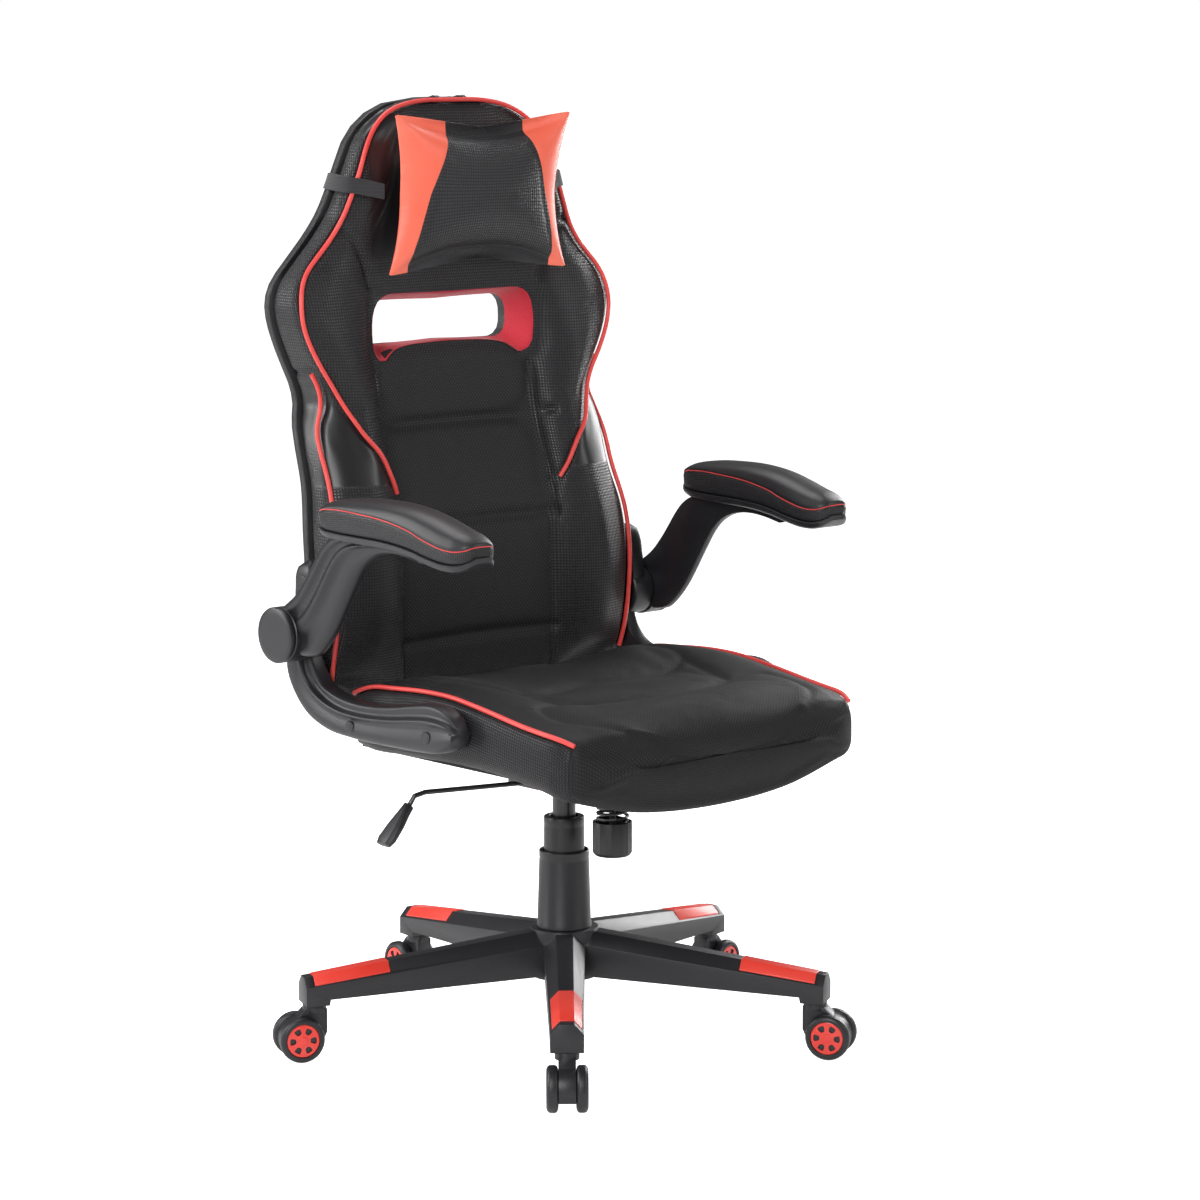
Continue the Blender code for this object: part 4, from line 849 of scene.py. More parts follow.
# %% Cut the window
def even_outline(half_outline, count=64):
    """A closed outline from its half on the sitter's left, top middle to bottom middle, evenly spaced."""
    half = np.asarray(half_outline, dtype=float)
    length = np.concatenate([[0.0], np.cumsum(np.linalg.norm(np.diff(half, axis=0), axis=1))])
    spots = np.linspace(0.0, length[-1], count // 2 + 1)
    right = np.column_stack([np.interp(spots, length, half[:, k]) for k in (0, 1)])
    left = right[-2::-1] * np.array([-1.0, 1.0])
    return np.vstack([right, left])


def quarter(centre, radius, start, end, steps=6):
    turns = np.radians(np.linspace(start, end, steps + 1))
    return [(centre[0] + radius * math.cos(t), centre[1] + radius * math.sin(t)) for t in turns]


WINDOW_FRONT = even_outline(
    [(0.0, 0.894), (0.060, 0.8945)] + quarter((0.106, 0.868), 0.026, 88, 0)
    + [(0.1325, 0.850), (0.1325, 0.832), (0.130, 0.812), (0.124, 0.796), (0.118, 0.788), (0.1135, 0.790)]
    + [(0.109, 0.800), (0.100, 0.811), (0.086, 0.818), (0.060, 0.8225), (0.030, 0.824), (0.0, 0.8245)]
)
WINDOW_REAR = even_outline(
    [(0.0, 0.876), (0.060, 0.876)] + quarter((0.0975, 0.854), 0.022, 90, 0)
    + quarter((0.1015, 0.840), 0.018, 0, -90) + [(0.060, 0.823), (0.0, 0.8235)]
)
WINDOW_FRONT_Y = 0.178
WINDOW_REAR_Y = 0.243


def window_at(y, grow=0.0):
    """The window's outline at one depth, in world coordinates."""
    share = min(max((y - WINDOW_FRONT_Y) / (WINDOW_REAR_Y - WINDOW_FRONT_Y), 0.0), 1.0)
    share = share**0.8
    outline = mix(WINDOW_FRONT, WINDOW_REAR, share)
    middle = np.array([0.0, 0.85])
    away = outline - middle
    outline = outline + away / np.linalg.norm(away, axis=1, keepdims=True) * grow
    return np.column_stack([outline[:, 0], np.full(len(outline), y), outline[:, 1]]) + np.array(SWIVEL)


def cut_away(obj, cutter):
    take(obj)
    cutting = obj.modifiers.new("cut", "BOOLEAN")
    cutting.operation = "DIFFERENCE"
    cutting.solver = "EXACT"
    cutting.object = cutter
    bpy.ops.object.modifier_apply(modifier="cut")
    bpy.data.objects.remove(cutter, do_unlink=True)
    return obj


def rolled_edge(obj, outline, depth, width):
    """Rolls the cover's edge back round an opening that is still to be cut."""
    points = points_of(obj)
    flat = points * np.array([1.0, 0.0, 1.0])
    gap = distance_to(flat, [outline * np.array([1.0, 0.0, 1.0])])
    on_front = normals_of(obj)[:, 1] < -0.3
    upright = np.exp(-(((points[:, 2] - 0.848) / 0.045) ** 4))
    points[:, 1] += on_front * (0.35 + 0.65 * upright) * depth * np.exp(-((gap / width) ** 2))
    set_points(obj, points)


rolled_edge(back_cover, window_at(WINDOW_FRONT_Y), 0.0085, 0.011)
front_face = [
    back_cover.ray_cast(Vector((x, -0.5, z)), Vector((0.0, 1.0, 0.0)))[1].y
    for x, _, z in window_at(0.18)
]
cut_away(back_cover, sleeve("window_cut", [window_at(y) for y in (0.090, 0.178, 0.20, 0.22, 0.243, 0.300)]))
print("window cut, its front edge between", round(min(front_face), 3), "and", round(max(front_face), 3))


# %% Line the window
def lining_row(depth, grow):
    """The lining at a share of its depth: from the cover's own surface to the rear panel."""
    rear = WINDOW_REAR_Y + SWIVEL.y
    outlines = []
    for k, front in enumerate(front_face):
        y = mix(front - 0.0005, rear, depth)
        outlines.append(window_at(y - SWIVEL.y, grow)[k])
    return outlines


lining_depths = np.linspace(0.0, 1.0, 14)
lining_rows = [lining_row(depth, -0.0022 + 0.0016 * math.exp(-depth / 0.04)) for depth in lining_depths]
lining_rows += [lining_row(depth, -0.0003) for depth in lining_depths[::-1]]
lining_rows.append(lining_rows[0])
lining = sleeve("window_lining", lining_rows, capped=False)
painted(lining, CRIMSON_MESH)
fitted(lining, "seat", "red_mesh")


# %% [markdown]
# ### The back's finishes
# Three skins meet at the seams: dotted cloth in the middle panel, smooth leather in the folds beside the
# head and above the hips, and check leather everywhere else. Each vertex keeps its distance to a panel's
# edge, and the finish turns that distance into a sharp border.

# %% Which skin is where
chair_points = points_of(back_cover) - np.array(SWIVEL)
seam_half = curved([(z, x) for x, _, z in MIDDLE_SEAM], np.clip(chair_points[:, 2], 0.400, 0.790))[:, 0]
cloth_area = np.minimum(seam_half - np.abs(chair_points[:, 0]), 0.8285 - chair_points[:, 2])
stored(back_cover, "cloth_area", cloth_area)
hip_x = np.interp(chair_points[:, 2], [0.430, 0.660, 0.800], [0.236, 0.226, 0.216])
wing_x = np.interp(chair_points[:, 2], [p[2] for p in WING_PIPING[:9]], [p[0] for p in WING_PIPING[:9]])
fold = np.minimum(hip_x - np.abs(chair_points[:, 0]), np.abs(chair_points[:, 0]) - wing_x)
fold = np.minimum(fold, np.minimum(chair_points[:, 2] - 0.665, 0.800 - chair_points[:, 2]))
column = 0.024 - np.abs(np.abs(chair_points[:, 0]) - 0.112)
column = np.minimum(column, chair_points[:, 2] - 0.93)
stored(back_cover, "smooth_area", np.maximum(fold, column))
stored(back_cover, "seam_gap", distance_to(points_of(back_cover), back_seams))


def cover_finish(name):
    """Check leather, dotted cloth and smooth leather on one cover, each in its own area."""
    finish = Finish(name, (0.012, 0.012, 0.014), 0.40, specular=0.55)
    cloth = finish.measure("cloth_area").step(-0.0006, 0.0006)
    plain = finish.measure("smooth_area").step(-0.004, 0.004)
    near_seam = 1.0 - finish.measure("seam_gap").step(0.0, 0.0045)
    tile, dot = tiles(finish, CHECK), dots(finish)
    worn, grain, fuzz = finish.noise(7.0, 3.0), finish.noise(900.0), finish.noise(1400.0)
    check = tile * (1.0 - plain)
    # Painted light: the check's raised tiles get a lighter colour as a painted highlight, its grooves a
    # darker one as painted shade.
    leather = finish.blend(check, (0.0030, 0.0030, 0.0036), (0.024, 0.024, 0.028))
    leather = finish.blend(plain, leather, (0.009, 0.009, 0.0105))
    knit = finish.blend(dot, (0.0070, 0.0070, 0.0080), (0.036, 0.036, 0.040))
    skin = finish.blend(cloth, leather, knit)
    finish.feed("Base Color", finish.blend(near_seam * 0.8, skin, (0.002, 0.002, 0.002)))
    leather_rough = 0.58 - check * 0.27 + worn * 0.08 - plain * 0.24
    finish.feed("Roughness", leather_rough + cloth * (0.76 - dot * 0.2 - leather_rough))
    leather_height = check + grain * 0.08
    cloth_height = dot * 0.5 + fuzz * 0.30
    finish.bump(leather_height + cloth * (cloth_height - leather_height), 0.0009, 1.0)
    return finish


painted(back_cover, cover_finish("back_cover_skins"))
fitted(back_cover, "seat", "black_leather", "back_cushion")


# %% [markdown]
# ### Piping
# Piping is a cord wrapped in a bias strip and trapped in the seam. It stands half out of the surface.


# %% Sew in the back's piping
def piping(name, line, radius=0.0028):
    return fitted(painted(tube(name, line, radius), CORAL_LEATHER), "seat", "red_leather")


def softened(line, passes=3):
    """A line with its small kinks rubbed out."""
    line = np.array(line)
    for _ in range(passes):
        line[1:-1] = (line[:-2] + line[1:-1] * 2 + line[2:]) / 4
    return line


piping("piping_over_head", softened(wing_line))
for side, line in zip(("left", "right"), hip_lines):
    piping(f"piping_hip_{side}", softened(line))
print("piping sewn in")


# %% [markdown]
# ### The rear panel
# Behind the foam a shell holds the back's shape. It is covered in plain leather and bulges slightly.


# %% The rear panel
def panel_rings():
    share = back_heights()[::2]
    share[-1] = 1.0
    wide, rear = curved(BACK_STATIONS, share).T[:2]
    height = BACK_LOW.z + share * (BACK_HIGH.z - BACK_LOW.z)
    half = BACK_HALF_WIDTH * wide - 0.0015
    front = rear - PANEL_THICK + 0.0003
    zero = np.zeros_like(half)
    corners = (
        (zero, front),
        (half * 0.6, front),
        (half - 0.001, front),
        (half, front + 0.001),
        (half, rear - 0.005),
        (half * 0.985, rear - 0.001),
        (half * 0.94, rear + 0.0005),
        (half * 0.55, rear + PANEL_BULGE * 0.75),
        (zero, rear + PANEL_BULGE),
    )
    return np.stack([np.stack([x, y, height], axis=1) for x, y in corners], axis=1)


PANEL_STEPS = (6, 6, 1, 3, 3, 2, 10, 14)
rear_rows = rounded_rings(mirrored(panel_rings()), PANEL_STEPS + PANEL_STEPS[::-1])
rear_panel = sleeve("rear_panel_cover", rear_rows + np.array(SWIVEL), 0)
cut_away(
    rear_panel, sleeve("rear_window_cut", [window_at(y, 0.0028) for y in (0.10, 0.20, 0.243, 0.30, 0.34)]),
)
smooth(rear_panel, 50)
painted(rear_panel, GRAIN_LEATHER)
fitted(rear_panel, "seat", "black_leather", "back_panel")
print("rear panel:", len(rear_panel.data.vertices), "points")

# %% [markdown]
# ## The seat
# The seat is a deep foam block whose front rolls down over the knees. Its cover has a dotted middle,
# plain shoulders and check leather down both sides, with piping where the top meets the sides.

# %% The seat cover's sections
SEAT_LOW, SEAT_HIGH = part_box("seat_cushion")
SEAT_HALF_WIDTH = (SEAT_HIGH.x - SEAT_LOW.x) / 2
BOARD_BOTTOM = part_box("seat_board")[0].z
SEAT_REAR = 0.132
SEAT_FRONT = SEAT_LOW.y - SWIVEL.y
SEAT_BOW = 0.018
SEAT_STATIONS = (
    # place (0 rear, 1 front), width share, side top, middle top, side and middle underside
    (0.000, 0.940, 0.050, 0.060, 0.010, 0.008),
    (0.020, 0.975, 0.062, 0.070, 0.004, 0.003),
    (0.070, 0.998, 0.071, 0.075, 0.000, 0.000),
    (0.230, 1.000, 0.082, 0.075, 0.000, 0.000),
    (0.450, 1.000, 0.085, 0.073, 0.003, 0.000),
    (0.620, 0.998, 0.077, 0.075, 0.001, -0.004),
    (0.720, 0.995, 0.071, 0.079, -0.003, -0.014),
    (0.810, 0.990, 0.066, 0.084, -0.008, -0.029),
    (0.880, 0.985, 0.063, 0.086, -0.014, -0.043),
    (0.940, 0.980, 0.061, 0.086, -0.017, -0.050),
    (1.000, 0.975, 0.060, 0.085, -0.018, -0.053),
)
NOSE_START = 0.86
SEAT_ROW_COUNT = 92


def seat_half_rings():
    """Corner points of each cross-section on the sitter's left, from middle below round to middle above."""
    even = np.linspace(0.0, 1.0, SEAT_ROW_COUNT)
    turn = np.clip((even - 0.78) / 0.22, 0.0, 1.0) * math.pi / 2
    share = np.where(even < 0.78, even * NOSE_START / 0.78, NOSE_START + (1 - NOSE_START) * np.sin(turn))
    wide, side_top, top, side_low, low = curved(SEAT_STATIONS, share).T
    y = SEAT_REAR + share * (SEAT_FRONT - SEAT_REAR)
    shrink = np.maximum(np.cos(turn), 0.02)
    middle = 0.020
    side_top, top, side_low, low = (
        middle + (h - middle) * shrink**0.85
        for h in (side_top, top, side_low, low)
    )
    half = SEAT_HALF_WIDTH * wide * mix(0.42, 1.0, shrink**0.55)
    wide = shrink
    zero = np.zeros_like(half)
    corners = (
        (zero, low),
        (half * 0.5, mix(low, side_low, 0.25)),
        (half * 0.88, side_low),
        (half * 0.985, side_low + 0.010 * wide),
        (half, mix(side_low, side_top, 0.5)),
        (half * 0.990, side_top - 0.014 * wide),
        (half * 0.952, side_top - 0.002),
        (half * 0.80, side_top + 0.009),
        (half * 0.45, mix(side_top, top, 0.8)),
        (zero, top),
    )
    rearness = np.clip(1.0 - share / 0.3, 0.0, 1.0)
    rings = []
    for x, z in corners:
        bow = SEAT_BOW * rearness * (1.0 - (x / half) ** 2)
        rings.append(np.stack([x, y + bow, BOARD_BOTTOM + z], axis=1))
    return np.stack(rings, axis=1)


SEAT_HALF_STEPS = (8, 6, 2, 5, 5, 3, 5, 10, 14)
seat_rows = rounded_rings(mirrored(seat_half_rings()), SEAT_HALF_STEPS + SEAT_HALF_STEPS[::-1])
seat_cover = sleeve("seat_cushion_cover", seat_rows + np.array(SWIVEL), sum(SEAT_HALF_STEPS))
print("seat cover:", len(seat_cover.data.vertices), "points")

# %% The seat's seams
TOP_Z = 0.470
SIDE_PIPING = (
    (0.226, 0.128, 0.436), (0.226, 0.090, 0.446), (0.2265, 0.029, 0.449), (0.2265, -0.020, 0.4505),
    (0.2265, -0.061, 0.450), (0.2265, -0.105, 0.444), (0.2262, -0.148, 0.437), (0.2255, -0.182, 0.431),
    (0.2245, -0.215, 0.427), (0.222, -0.240, 0.423), (0.216, -0.262, 0.418),
)
CORNER_SEAM = (
    (0.216, -0.262, 0.418), (0.2175, -0.262, 0.400), (0.217, -0.260, 0.380), (0.210, -0.258, 0.358),
)
REAR_PANEL_SEAM = (
    (-0.187, 0.060), (-0.183, 0.026), (-0.165, -0.008), (-0.147, -0.041), (-0.117, -0.061),
    (-0.085, -0.063), (-0.039, -0.052), (0.0, -0.043), (0.039, -0.047), (0.085, -0.055), (0.117, -0.055),
    (0.147, -0.040), (0.170, -0.005), (0.187, 0.062),
)
ROLL_SEAM = (
    (-0.147, -0.300), (-0.176, -0.250), (-0.190, -0.200), (-0.172, -0.160), (-0.126, -0.148),
    (-0.095, -0.161), (-0.063, -0.172), (-0.018, -0.178), (0.030, -0.173), (0.083, -0.162), (0.135, -0.150),
    (0.175, -0.160), (0.192, -0.195), (0.178, -0.246), (0.147, -0.300),
)
SHOULDER_SEAM = ((-0.147, -0.041), (-0.136, -0.089), (-0.126, -0.148))


def on_seat(flat_line):
    return laid_on(seat_cover, np.array([(x, y, TOP_Z) for x, y in flat_line]) + np.array(SWIVEL))


seat_side_lines = [laid_on(seat_cover, line) for line in both_sides(SIDE_PIPING)]
corner_lines = [laid_on(seat_cover, line) for line in both_sides(CORNER_SEAM)]
top_lines = [on_seat(REAR_PANEL_SEAM), on_seat(ROLL_SEAM), on_seat(SHOULDER_SEAM),
             on_seat([(-x, y) for x, y in SHOULDER_SEAM])]
seat_seams = [*seat_side_lines, *corner_lines, *top_lines]

# %% Stuff the seat
seat_gap = distance_to(points_of(seat_cover), seat_seams)
underside = normals_of(seat_cover)[:, 2] < -0.75
seat_held = np.clip(np.maximum(np.exp(-((seat_gap / 0.009) ** 2)), underside * 1.0), 0.0, 1.0)
sunk(seat_cover, seat_held, 0.004)
swollen(seat_cover, seat_held, 0.007)
shape(seat_cover, "SUBSURF", levels=1, render_levels=1)
sewn(seat_cover, [*seat_side_lines, *corner_lines], 0.0035, 0.006)
sewn(seat_cover, top_lines, 0.0055, 0.009)

# %% The seat's skins
seat_points = points_of(seat_cover) - np.array(SWIVEL)
side_top_z = np.interp(-seat_points[:, 1], [-p[1] for p in SIDE_PIPING], [p[2] for p in SIDE_PIPING])
gusset = np.maximum(np.abs(seat_points[:, 0]) - 0.2265, side_top_z - seat_points[:, 2])
gusset = np.minimum(np.minimum(gusset, np.abs(seat_points[:, 0]) - 0.19), seat_points[:, 1] + 0.261)
stored(seat_cover, "gusset", gusset)
shoulder = np.minimum(
    np.abs(seat_points[:, 0]) - np.interp(seat_points[:, 1], [-0.148, -0.041, 0.06], [0.128, 0.147, 0.187]),
    seat_points[:, 1] + 0.155,
)
front_shoulder = np.minimum(np.abs(seat_points[:, 0]) - 0.188, seat_points[:, 1] + 0.262)
stored(seat_cover, "shoulder", np.maximum(shoulder, front_shoulder))
stored(
    seat_cover, "rear_panel",
    seat_points[:, 1] + 0.055 - 0.5 * np.maximum(np.abs(seat_points[:, 0]) - 0.12, 0.0),
)
stored(seat_cover, "seam_gap", distance_to(points_of(seat_cover), seat_seams))


def seat_finish():
    """Dotted cloth, ribbed cloth behind, satin shoulders and check leather sides."""
    finish = Finish("seat_cover_skins", (0.012, 0.012, 0.013), 0.6, specular=0.30)
    side = finish.measure("gusset").step(-0.0006, 0.0006)
    satin = finish.measure("shoulder").step(-0.002, 0.002)
    ribbed = finish.measure("rear_panel").step(-0.002, 0.002)
    near_seam = 1.0 - finish.measure("seam_gap").step(0.0, 0.0040)
    tile, dot = tiles(finish, CHECK), dots(finish)
    across, along = finish.uv()
    rib = abs((across * (math.pi / 0.0042)).sine())
    woven = dot * (1.0 - satin) + rib * ribbed * 0.35
    fuzz = finish.noise(1300.0)
    knit = finish.blend(woven, (0.0060, 0.0060, 0.0068), (0.026, 0.026, 0.029))
    # Painted light: the check's raised tiles get a lighter colour as a painted highlight, its grooves a
    # darker one as painted shade.
    leather = finish.blend(tile, (0.0030, 0.0030, 0.0036), (0.024, 0.024, 0.028))
    skin = finish.blend(side, knit, leather)
    finish.feed("Base Color", finish.blend(near_seam * 0.8, skin, (0.002, 0.002, 0.002)))
    soft_rough = 0.66 - satin * 0.10 + fuzz * 0.05
    finish.feed("Roughness", soft_rough + side * (0.56 - tile * 0.22 - soft_rough))
    soft_height = woven * 0.5 + fuzz * 0.3
    finish.bump(soft_height + side * (tile - soft_height), 0.0008, 1.0)
    return finish


painted(seat_cover, seat_finish())
fitted(seat_cover, "seat", "black_fabric", "seat_cushion")
for side, line in zip(("left", "right"), seat_side_lines):
    piping(f"piping_seat_{side}", softened(line))

# %% [markdown]
# ## The head pillow
# Four ears give the pillow its look: two sheets are sewn along a pinched outline and stuffed, so that the
# middle swells and the corners stay flat. Coral ends are sewn to a black embossed middle, and an elastic
# band holds it.

# %% The pillow
PILLOW_X_TOP = 0.1375
PILLOW_X_LOW = 0.1395
PILLOW_X_WAIST = 0.1205
PILLOW_COLUMNS = 46
PILLOW_ROW_COUNT = 40


def pillow_point(s, t, face):
    """A point of the pillow: s across and t up from -1 to 1, and face -1 in front or 1 behind."""
    edge = mix(PILLOW_X_LOW, PILLOW_X_TOP, (t + 1) / 2)
    half = edge - (edge - PILLOW_X_WAIST) * (1 - t * t)
    x = half * s
    top = 1.1015 - 0.0310 * (1 - abs(s) ** 2.1)
    low = 0.9090 + 0.0310 * (1 - abs(s) ** 2.1)
    z = mix(low, top, (t + 1) / 2)
    plump = (max(1 - abs(s) ** 3.2, 0.0) ** 0.55) * (max(1 - abs(t) ** 3.0, 0.0) ** 0.55)
    lean = 0.156 - 0.012 * max(t, 0.0) - 0.003 * abs(s) ** 3
    deep = 0.031 if face < 0 else 0.027
    return (x, lean + face * (deep * plump + 0.0006), z)


def crowded(count):
    """Places from -1 to 1, closer together at both ends."""
    return np.sin(np.linspace(-math.pi / 2, math.pi / 2, count)) * 0.35 + np.linspace(-1, 1, count) * 0.65


pillow_rows = []
across = crowded(PILLOW_COLUMNS)
for t in crowded(PILLOW_ROW_COUNT):
    ring = [pillow_point(s, t, -1) for s in across] + [pillow_point(s, t, 1) for s in across[::-1]]
    pillow_rows.append(ring + ring[:1])
pillow = sleeve("head_pillow_cover", np.array(pillow_rows) + np.array(SWIVEL), PILLOW_COLUMNS // 2)
steps = np.linspace(-1, 1, 30)
pillow_edges = [[pillow_point(s, t, 0) for s in steps] for t in (-1, 1)]
pillow_edges += [[pillow_point(s, t, 0) for t in steps] for s in (-1, 1)]
pillow_edge_lines = [np.array(edge) + np.array(SWIVEL) for edge in pillow_edges]
PILLOW_SEAM = (
    (0.060, 1.077), (0.070, 1.055), (0.079, 1.033), (0.089, 1.005), (0.098, 0.975), (0.105, 0.950),
    (0.110, 0.930),
)
pillow_seams = [laid_on(pillow, line) for line in both_sides([(x, 0.10, z) for x, z in PILLOW_SEAM])]
pillow_held = np.exp(-((distance_to(points_of(pillow), pillow_edge_lines) / 0.006) ** 2))
sunk(pillow, pillow_held, 0.003)
swollen(pillow, pillow_held, 0.006)
shape(pillow, "SUBSURF", levels=1, render_levels=1)
sewn(pillow, pillow_seams, 0.0022, 0.0035)

# %% The pillow's skins
pillow_points = points_of(pillow) - np.array(SWIVEL)
boundary = np.interp(-pillow_points[:, 2], [-p[1] for p in PILLOW_SEAM], [p[0] for p in PILLOW_SEAM])
stored(pillow, "coral_end", np.abs(pillow_points[:, 0]) - boundary)
wrinkle = np.abs(pillow_points[:, 0]) - 0.085
stored(pillow, "wrinkle", np.clip(wrinkle / 0.04, 0.0, 1.0))


def pillow_finish():
    finish = Finish("pillow_skins", (0.5, 0.05, 0.03), 0.42)
    end = finish.measure("coral_end").step(-0.0005, 0.0005)
    tile = tiles(finish, CHECK)
    crease = finish.noise(26.0, 3.0, (0.5, 0.5, 2.6)) * finish.measure("wrinkle")
    grain = finish.noise(1100.0)
    # Painted light: the check's raised tiles get a lighter colour as a painted highlight, its grooves a
    # darker one as painted shade.
    black = finish.blend(tile, (0.0030, 0.0030, 0.0036), (0.024, 0.024, 0.028))
    coral = finish.blend(crease, (0.88, 0.135, 0.075), (0.95, 0.20, 0.13))
    finish.feed("Base Color", finish.blend(end, black, coral))
    finish.feed("Roughness", 0.52 - tile * 0.18 + end * (tile * 0.18 - 0.08))
    finish.bump(tile * 0.9 + end * (crease * 5.0 + grain * 0.1 - tile * 0.9), 0.0008, 0.8)
    return finish


painted(pillow, pillow_finish())
fitted(pillow, "seat", "red_leather", "headrest_pillow")


# %% [markdown]
# ## Refining the engineering pieces
# Most hard parts keep the engineering shape. Its edges are rounded as the mould or the press would leave
# them, so that they catch a line of light.


# %% A copy of an engineering piece with rounded edges
def refined(node, name, width=0.0012, segments=2, angle=30, finish=None, slot=None, body=None):
    """Copies a node, merges its loose triangles, rounds its edges, and takes the node's place."""
    obj = copied(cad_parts[node], name)
    obj.parent = None
    obj.matrix_world.identity()
    take(obj)
    bpy.ops.object.mode_set(mode="EDIT")
    bpy.ops.mesh.select_all(action="SELECT")
    bpy.ops.mesh.remove_doubles(threshold=0.00001)
    bpy.ops.mesh.dissolve_limited(angle_limit=math.radians(1.5))
    bpy.ops.object.mode_set(mode="OBJECT")
    if width:
        shape(obj, "BEVEL", width=width, segments=segments, limit_method="ANGLE",
              angle_limit=math.radians(angle), harden_normals=False, miter_outer="MITER_ARC")
    smooth(obj, 38)
    painted(obj, finish)
    fitted(obj, body, slot, node)
    return obj


for k in range(1, 6):
    refined(f"caster_hood_{k}", f"hood_{k}", 0.0012, 2, 30, NYLON, "black_nylon", f"caster_{k}")
refined("base_star", "star_base", 0.0016, 2, 25, NYLON, "black_nylon", "base")
for k in range(1, 6):
    refined(f"leg_cap_{k}", f"leg_insert_{k}", 0.0006, 2, 25, RED_PLASTIC, "red_plastic", "base")
refined("tension_knob", "tension_knob_cover", 0.0006, 2, 25, NYLON, "black_nylon", "knob")
refined("lever_paddle", "lever_handle", 0.0016, 3, 25, NYLON, "black_nylon", "lever")
refined("tilt_housing", "tilt_box", 0.0012, 2, 30, PAINTED_STEEL, "black_steel", "lift")
refined("seat_plate", "seat_plate_pressed", 0.0008, 2, 30, PAINTED_STEEL, "black_steel", "seat")
print("moulded parts rounded")

# %% [markdown]
# ## Arms
# Each arm is a nylon limb on a pivot that flips it up. Its moulded bracket runs under the seat's side and
# holds it with two bolts.

# %% Sculpted limbs
ARM_PIVOT = (0.165, 0.500)


def sculpted(name, side, stations, section, body, node=None, step=0.006):
    """A moulded limb: one section carried along pairs of edge points, given from the arm's pivot.

    A station is (upper edge y, z, lower edge y, z, outward reach).
    A section point is (share across, X place).
    """
    table = np.array(stations, dtype=float)
    middle = (table[:, 0:2] + table[:, 2:4]) / 2
    length = np.concatenate([[0.0], np.cumsum(np.linalg.norm(np.diff(middle, axis=0), axis=1))])
    count = max(int(length[-1] / step), 8)
    rows = curved(np.column_stack([length, table]), np.linspace(0.0, length[-1], count))
    share = np.array([v for v, _ in section])[None, :]
    reach = np.array([x for _, x in section])[None, :]
    floor_x = reach.min()
    y = mix(rows[:, 0:1], rows[:, 2:3], share)
    z = mix(rows[:, 1:2], rows[:, 3:4], share)
    x = floor_x + (reach - floor_x) * rows[:, 4:5]
    corners = np.stack([x, ARM_PIVOT[0] + y, ARM_PIVOT[1] + z], axis=2)
    rings = rounded_rings(corners, [3] * corners.shape[1])
    if side == "right":
        rings = rings * np.array([-1.0, 1.0, 1.0])
    limb = sleeve(name, rings + np.array(SWIVEL))
    smooth(limb, 50)
    painted(limb, NYLON)
    return fitted(limb, body, "black_nylon", *([node] if node else []))


BRACKET_SECTION = (
    (0.03, 0.2392), (0.00, 0.2425), (0.00, 0.2530), (0.03, 0.2578), (0.09, 0.2594), (0.20, 0.2586),
    (0.265, 0.2604), (0.31, 0.2650), (0.36, 0.2660), (0.405, 0.2640), (0.47, 0.2626), (0.60, 0.2640),
    (0.75, 0.2652), (0.88, 0.2645), (0.96, 0.2610), (1.00, 0.2550), (1.00, 0.2425), (0.97, 0.2392),
)
BRACKET_STATIONS = (
    (-0.010, -0.004, 0.033, -0.004, 0.90),
    (-0.008, -0.022, 0.034, -0.024, 0.97),
    (-0.014, -0.040, 0.033, -0.048, 1.0),
    (-0.030, -0.058, 0.020, -0.074, 1.0),
    (-0.052, -0.067, -0.004, -0.097, 1.0),
    (-0.075, -0.0715, -0.042, -0.1115, 1.0),
    (-0.100, -0.0730, -0.085, -0.1155, 1.0),
    (-0.130, -0.0715, -0.125, -0.1165, 1.0),
    (-0.165, -0.0670, -0.166, -0.1160, 1.0),
    (-0.200, -0.0605, -0.204, -0.1150, 1.0),
    (-0.228, -0.0575, -0.234, -0.1130, 1.0),
    (-0.250, -0.0610, -0.256, -0.1080, 0.99),
    (-0.264, -0.0680, -0.269, -0.1010, 0.94),
    (-0.2725, -0.0775, -0.2750, -0.0930, 0.80),
    (-0.2755, -0.0845, -0.2760, -0.0880, 0.55),
)
UPPER_SECTION = (
    (0.05, 0.2394), (0.0, 0.243), (0.0, 0.2565), (0.10, 0.2610), (0.30, 0.2622), (0.70, 0.2622),
    (0.90, 0.2610), (1.0, 0.2565), (1.0, 0.243), (0.95, 0.2394),
)
UPPER_STATIONS = (
    (-0.026, 0.004, 0.024, 0.002, 0.95), (-0.025, 0.030, 0.020, 0.030, 1.0),
    (-0.022, 0.050, 0.018, 0.052, 1.0), (-0.018, 0.068, 0.016, 0.068, 1.0),
    (-0.012, 0.079, 0.011, 0.077, 0.92), (-0.004, 0.084, 0.004, 0.083, 0.6),
)
ARM_SECTION = (
    (0.03, 0.2710), (0.00, 0.2740), (0.00, 0.2880), (0.04, 0.2928), (0.11, 0.2950), (0.18, 0.2954),
    (0.235, 0.2925), (0.30, 0.2912), (0.37, 0.2918), (0.43, 0.2945), (0.50, 0.2948), (0.56, 0.2915),
    (0.63, 0.2890), (0.78, 0.2882), (0.92, 0.2862), (1.00, 0.2800), (1.00, 0.2740), (0.97, 0.2710),
)
ARM_STATIONS = (
    (0.024, 0.016, -0.030, -0.024, 1.0), (0.012, 0.026, -0.050, -0.020, 1.0),
    (-0.004, 0.036, -0.068, -0.006, 1.0), (-0.024, 0.050, -0.084, 0.012, 1.0),
    (-0.041, 0.068, -0.097, 0.031, 1.0), (-0.055, 0.086, -0.109, 0.050, 1.0),
    (-0.067, 0.102, -0.120, 0.067, 1.0), (-0.080, 0.1155, -0.131, 0.083, 1.0),
    (-0.095, 0.1240, -0.143, 0.0955, 1.0), (-0.114, 0.1275, -0.158, 0.1050, 1.0),
    (-0.140, 0.1285, -0.176, 0.1110, 0.99), (-0.172, 0.1275, -0.200, 0.1135, 0.97),
    (-0.208, 0.1240, -0.226, 0.1115, 0.93), (-0.244, 0.1175, -0.252, 0.1065, 0.86),
)


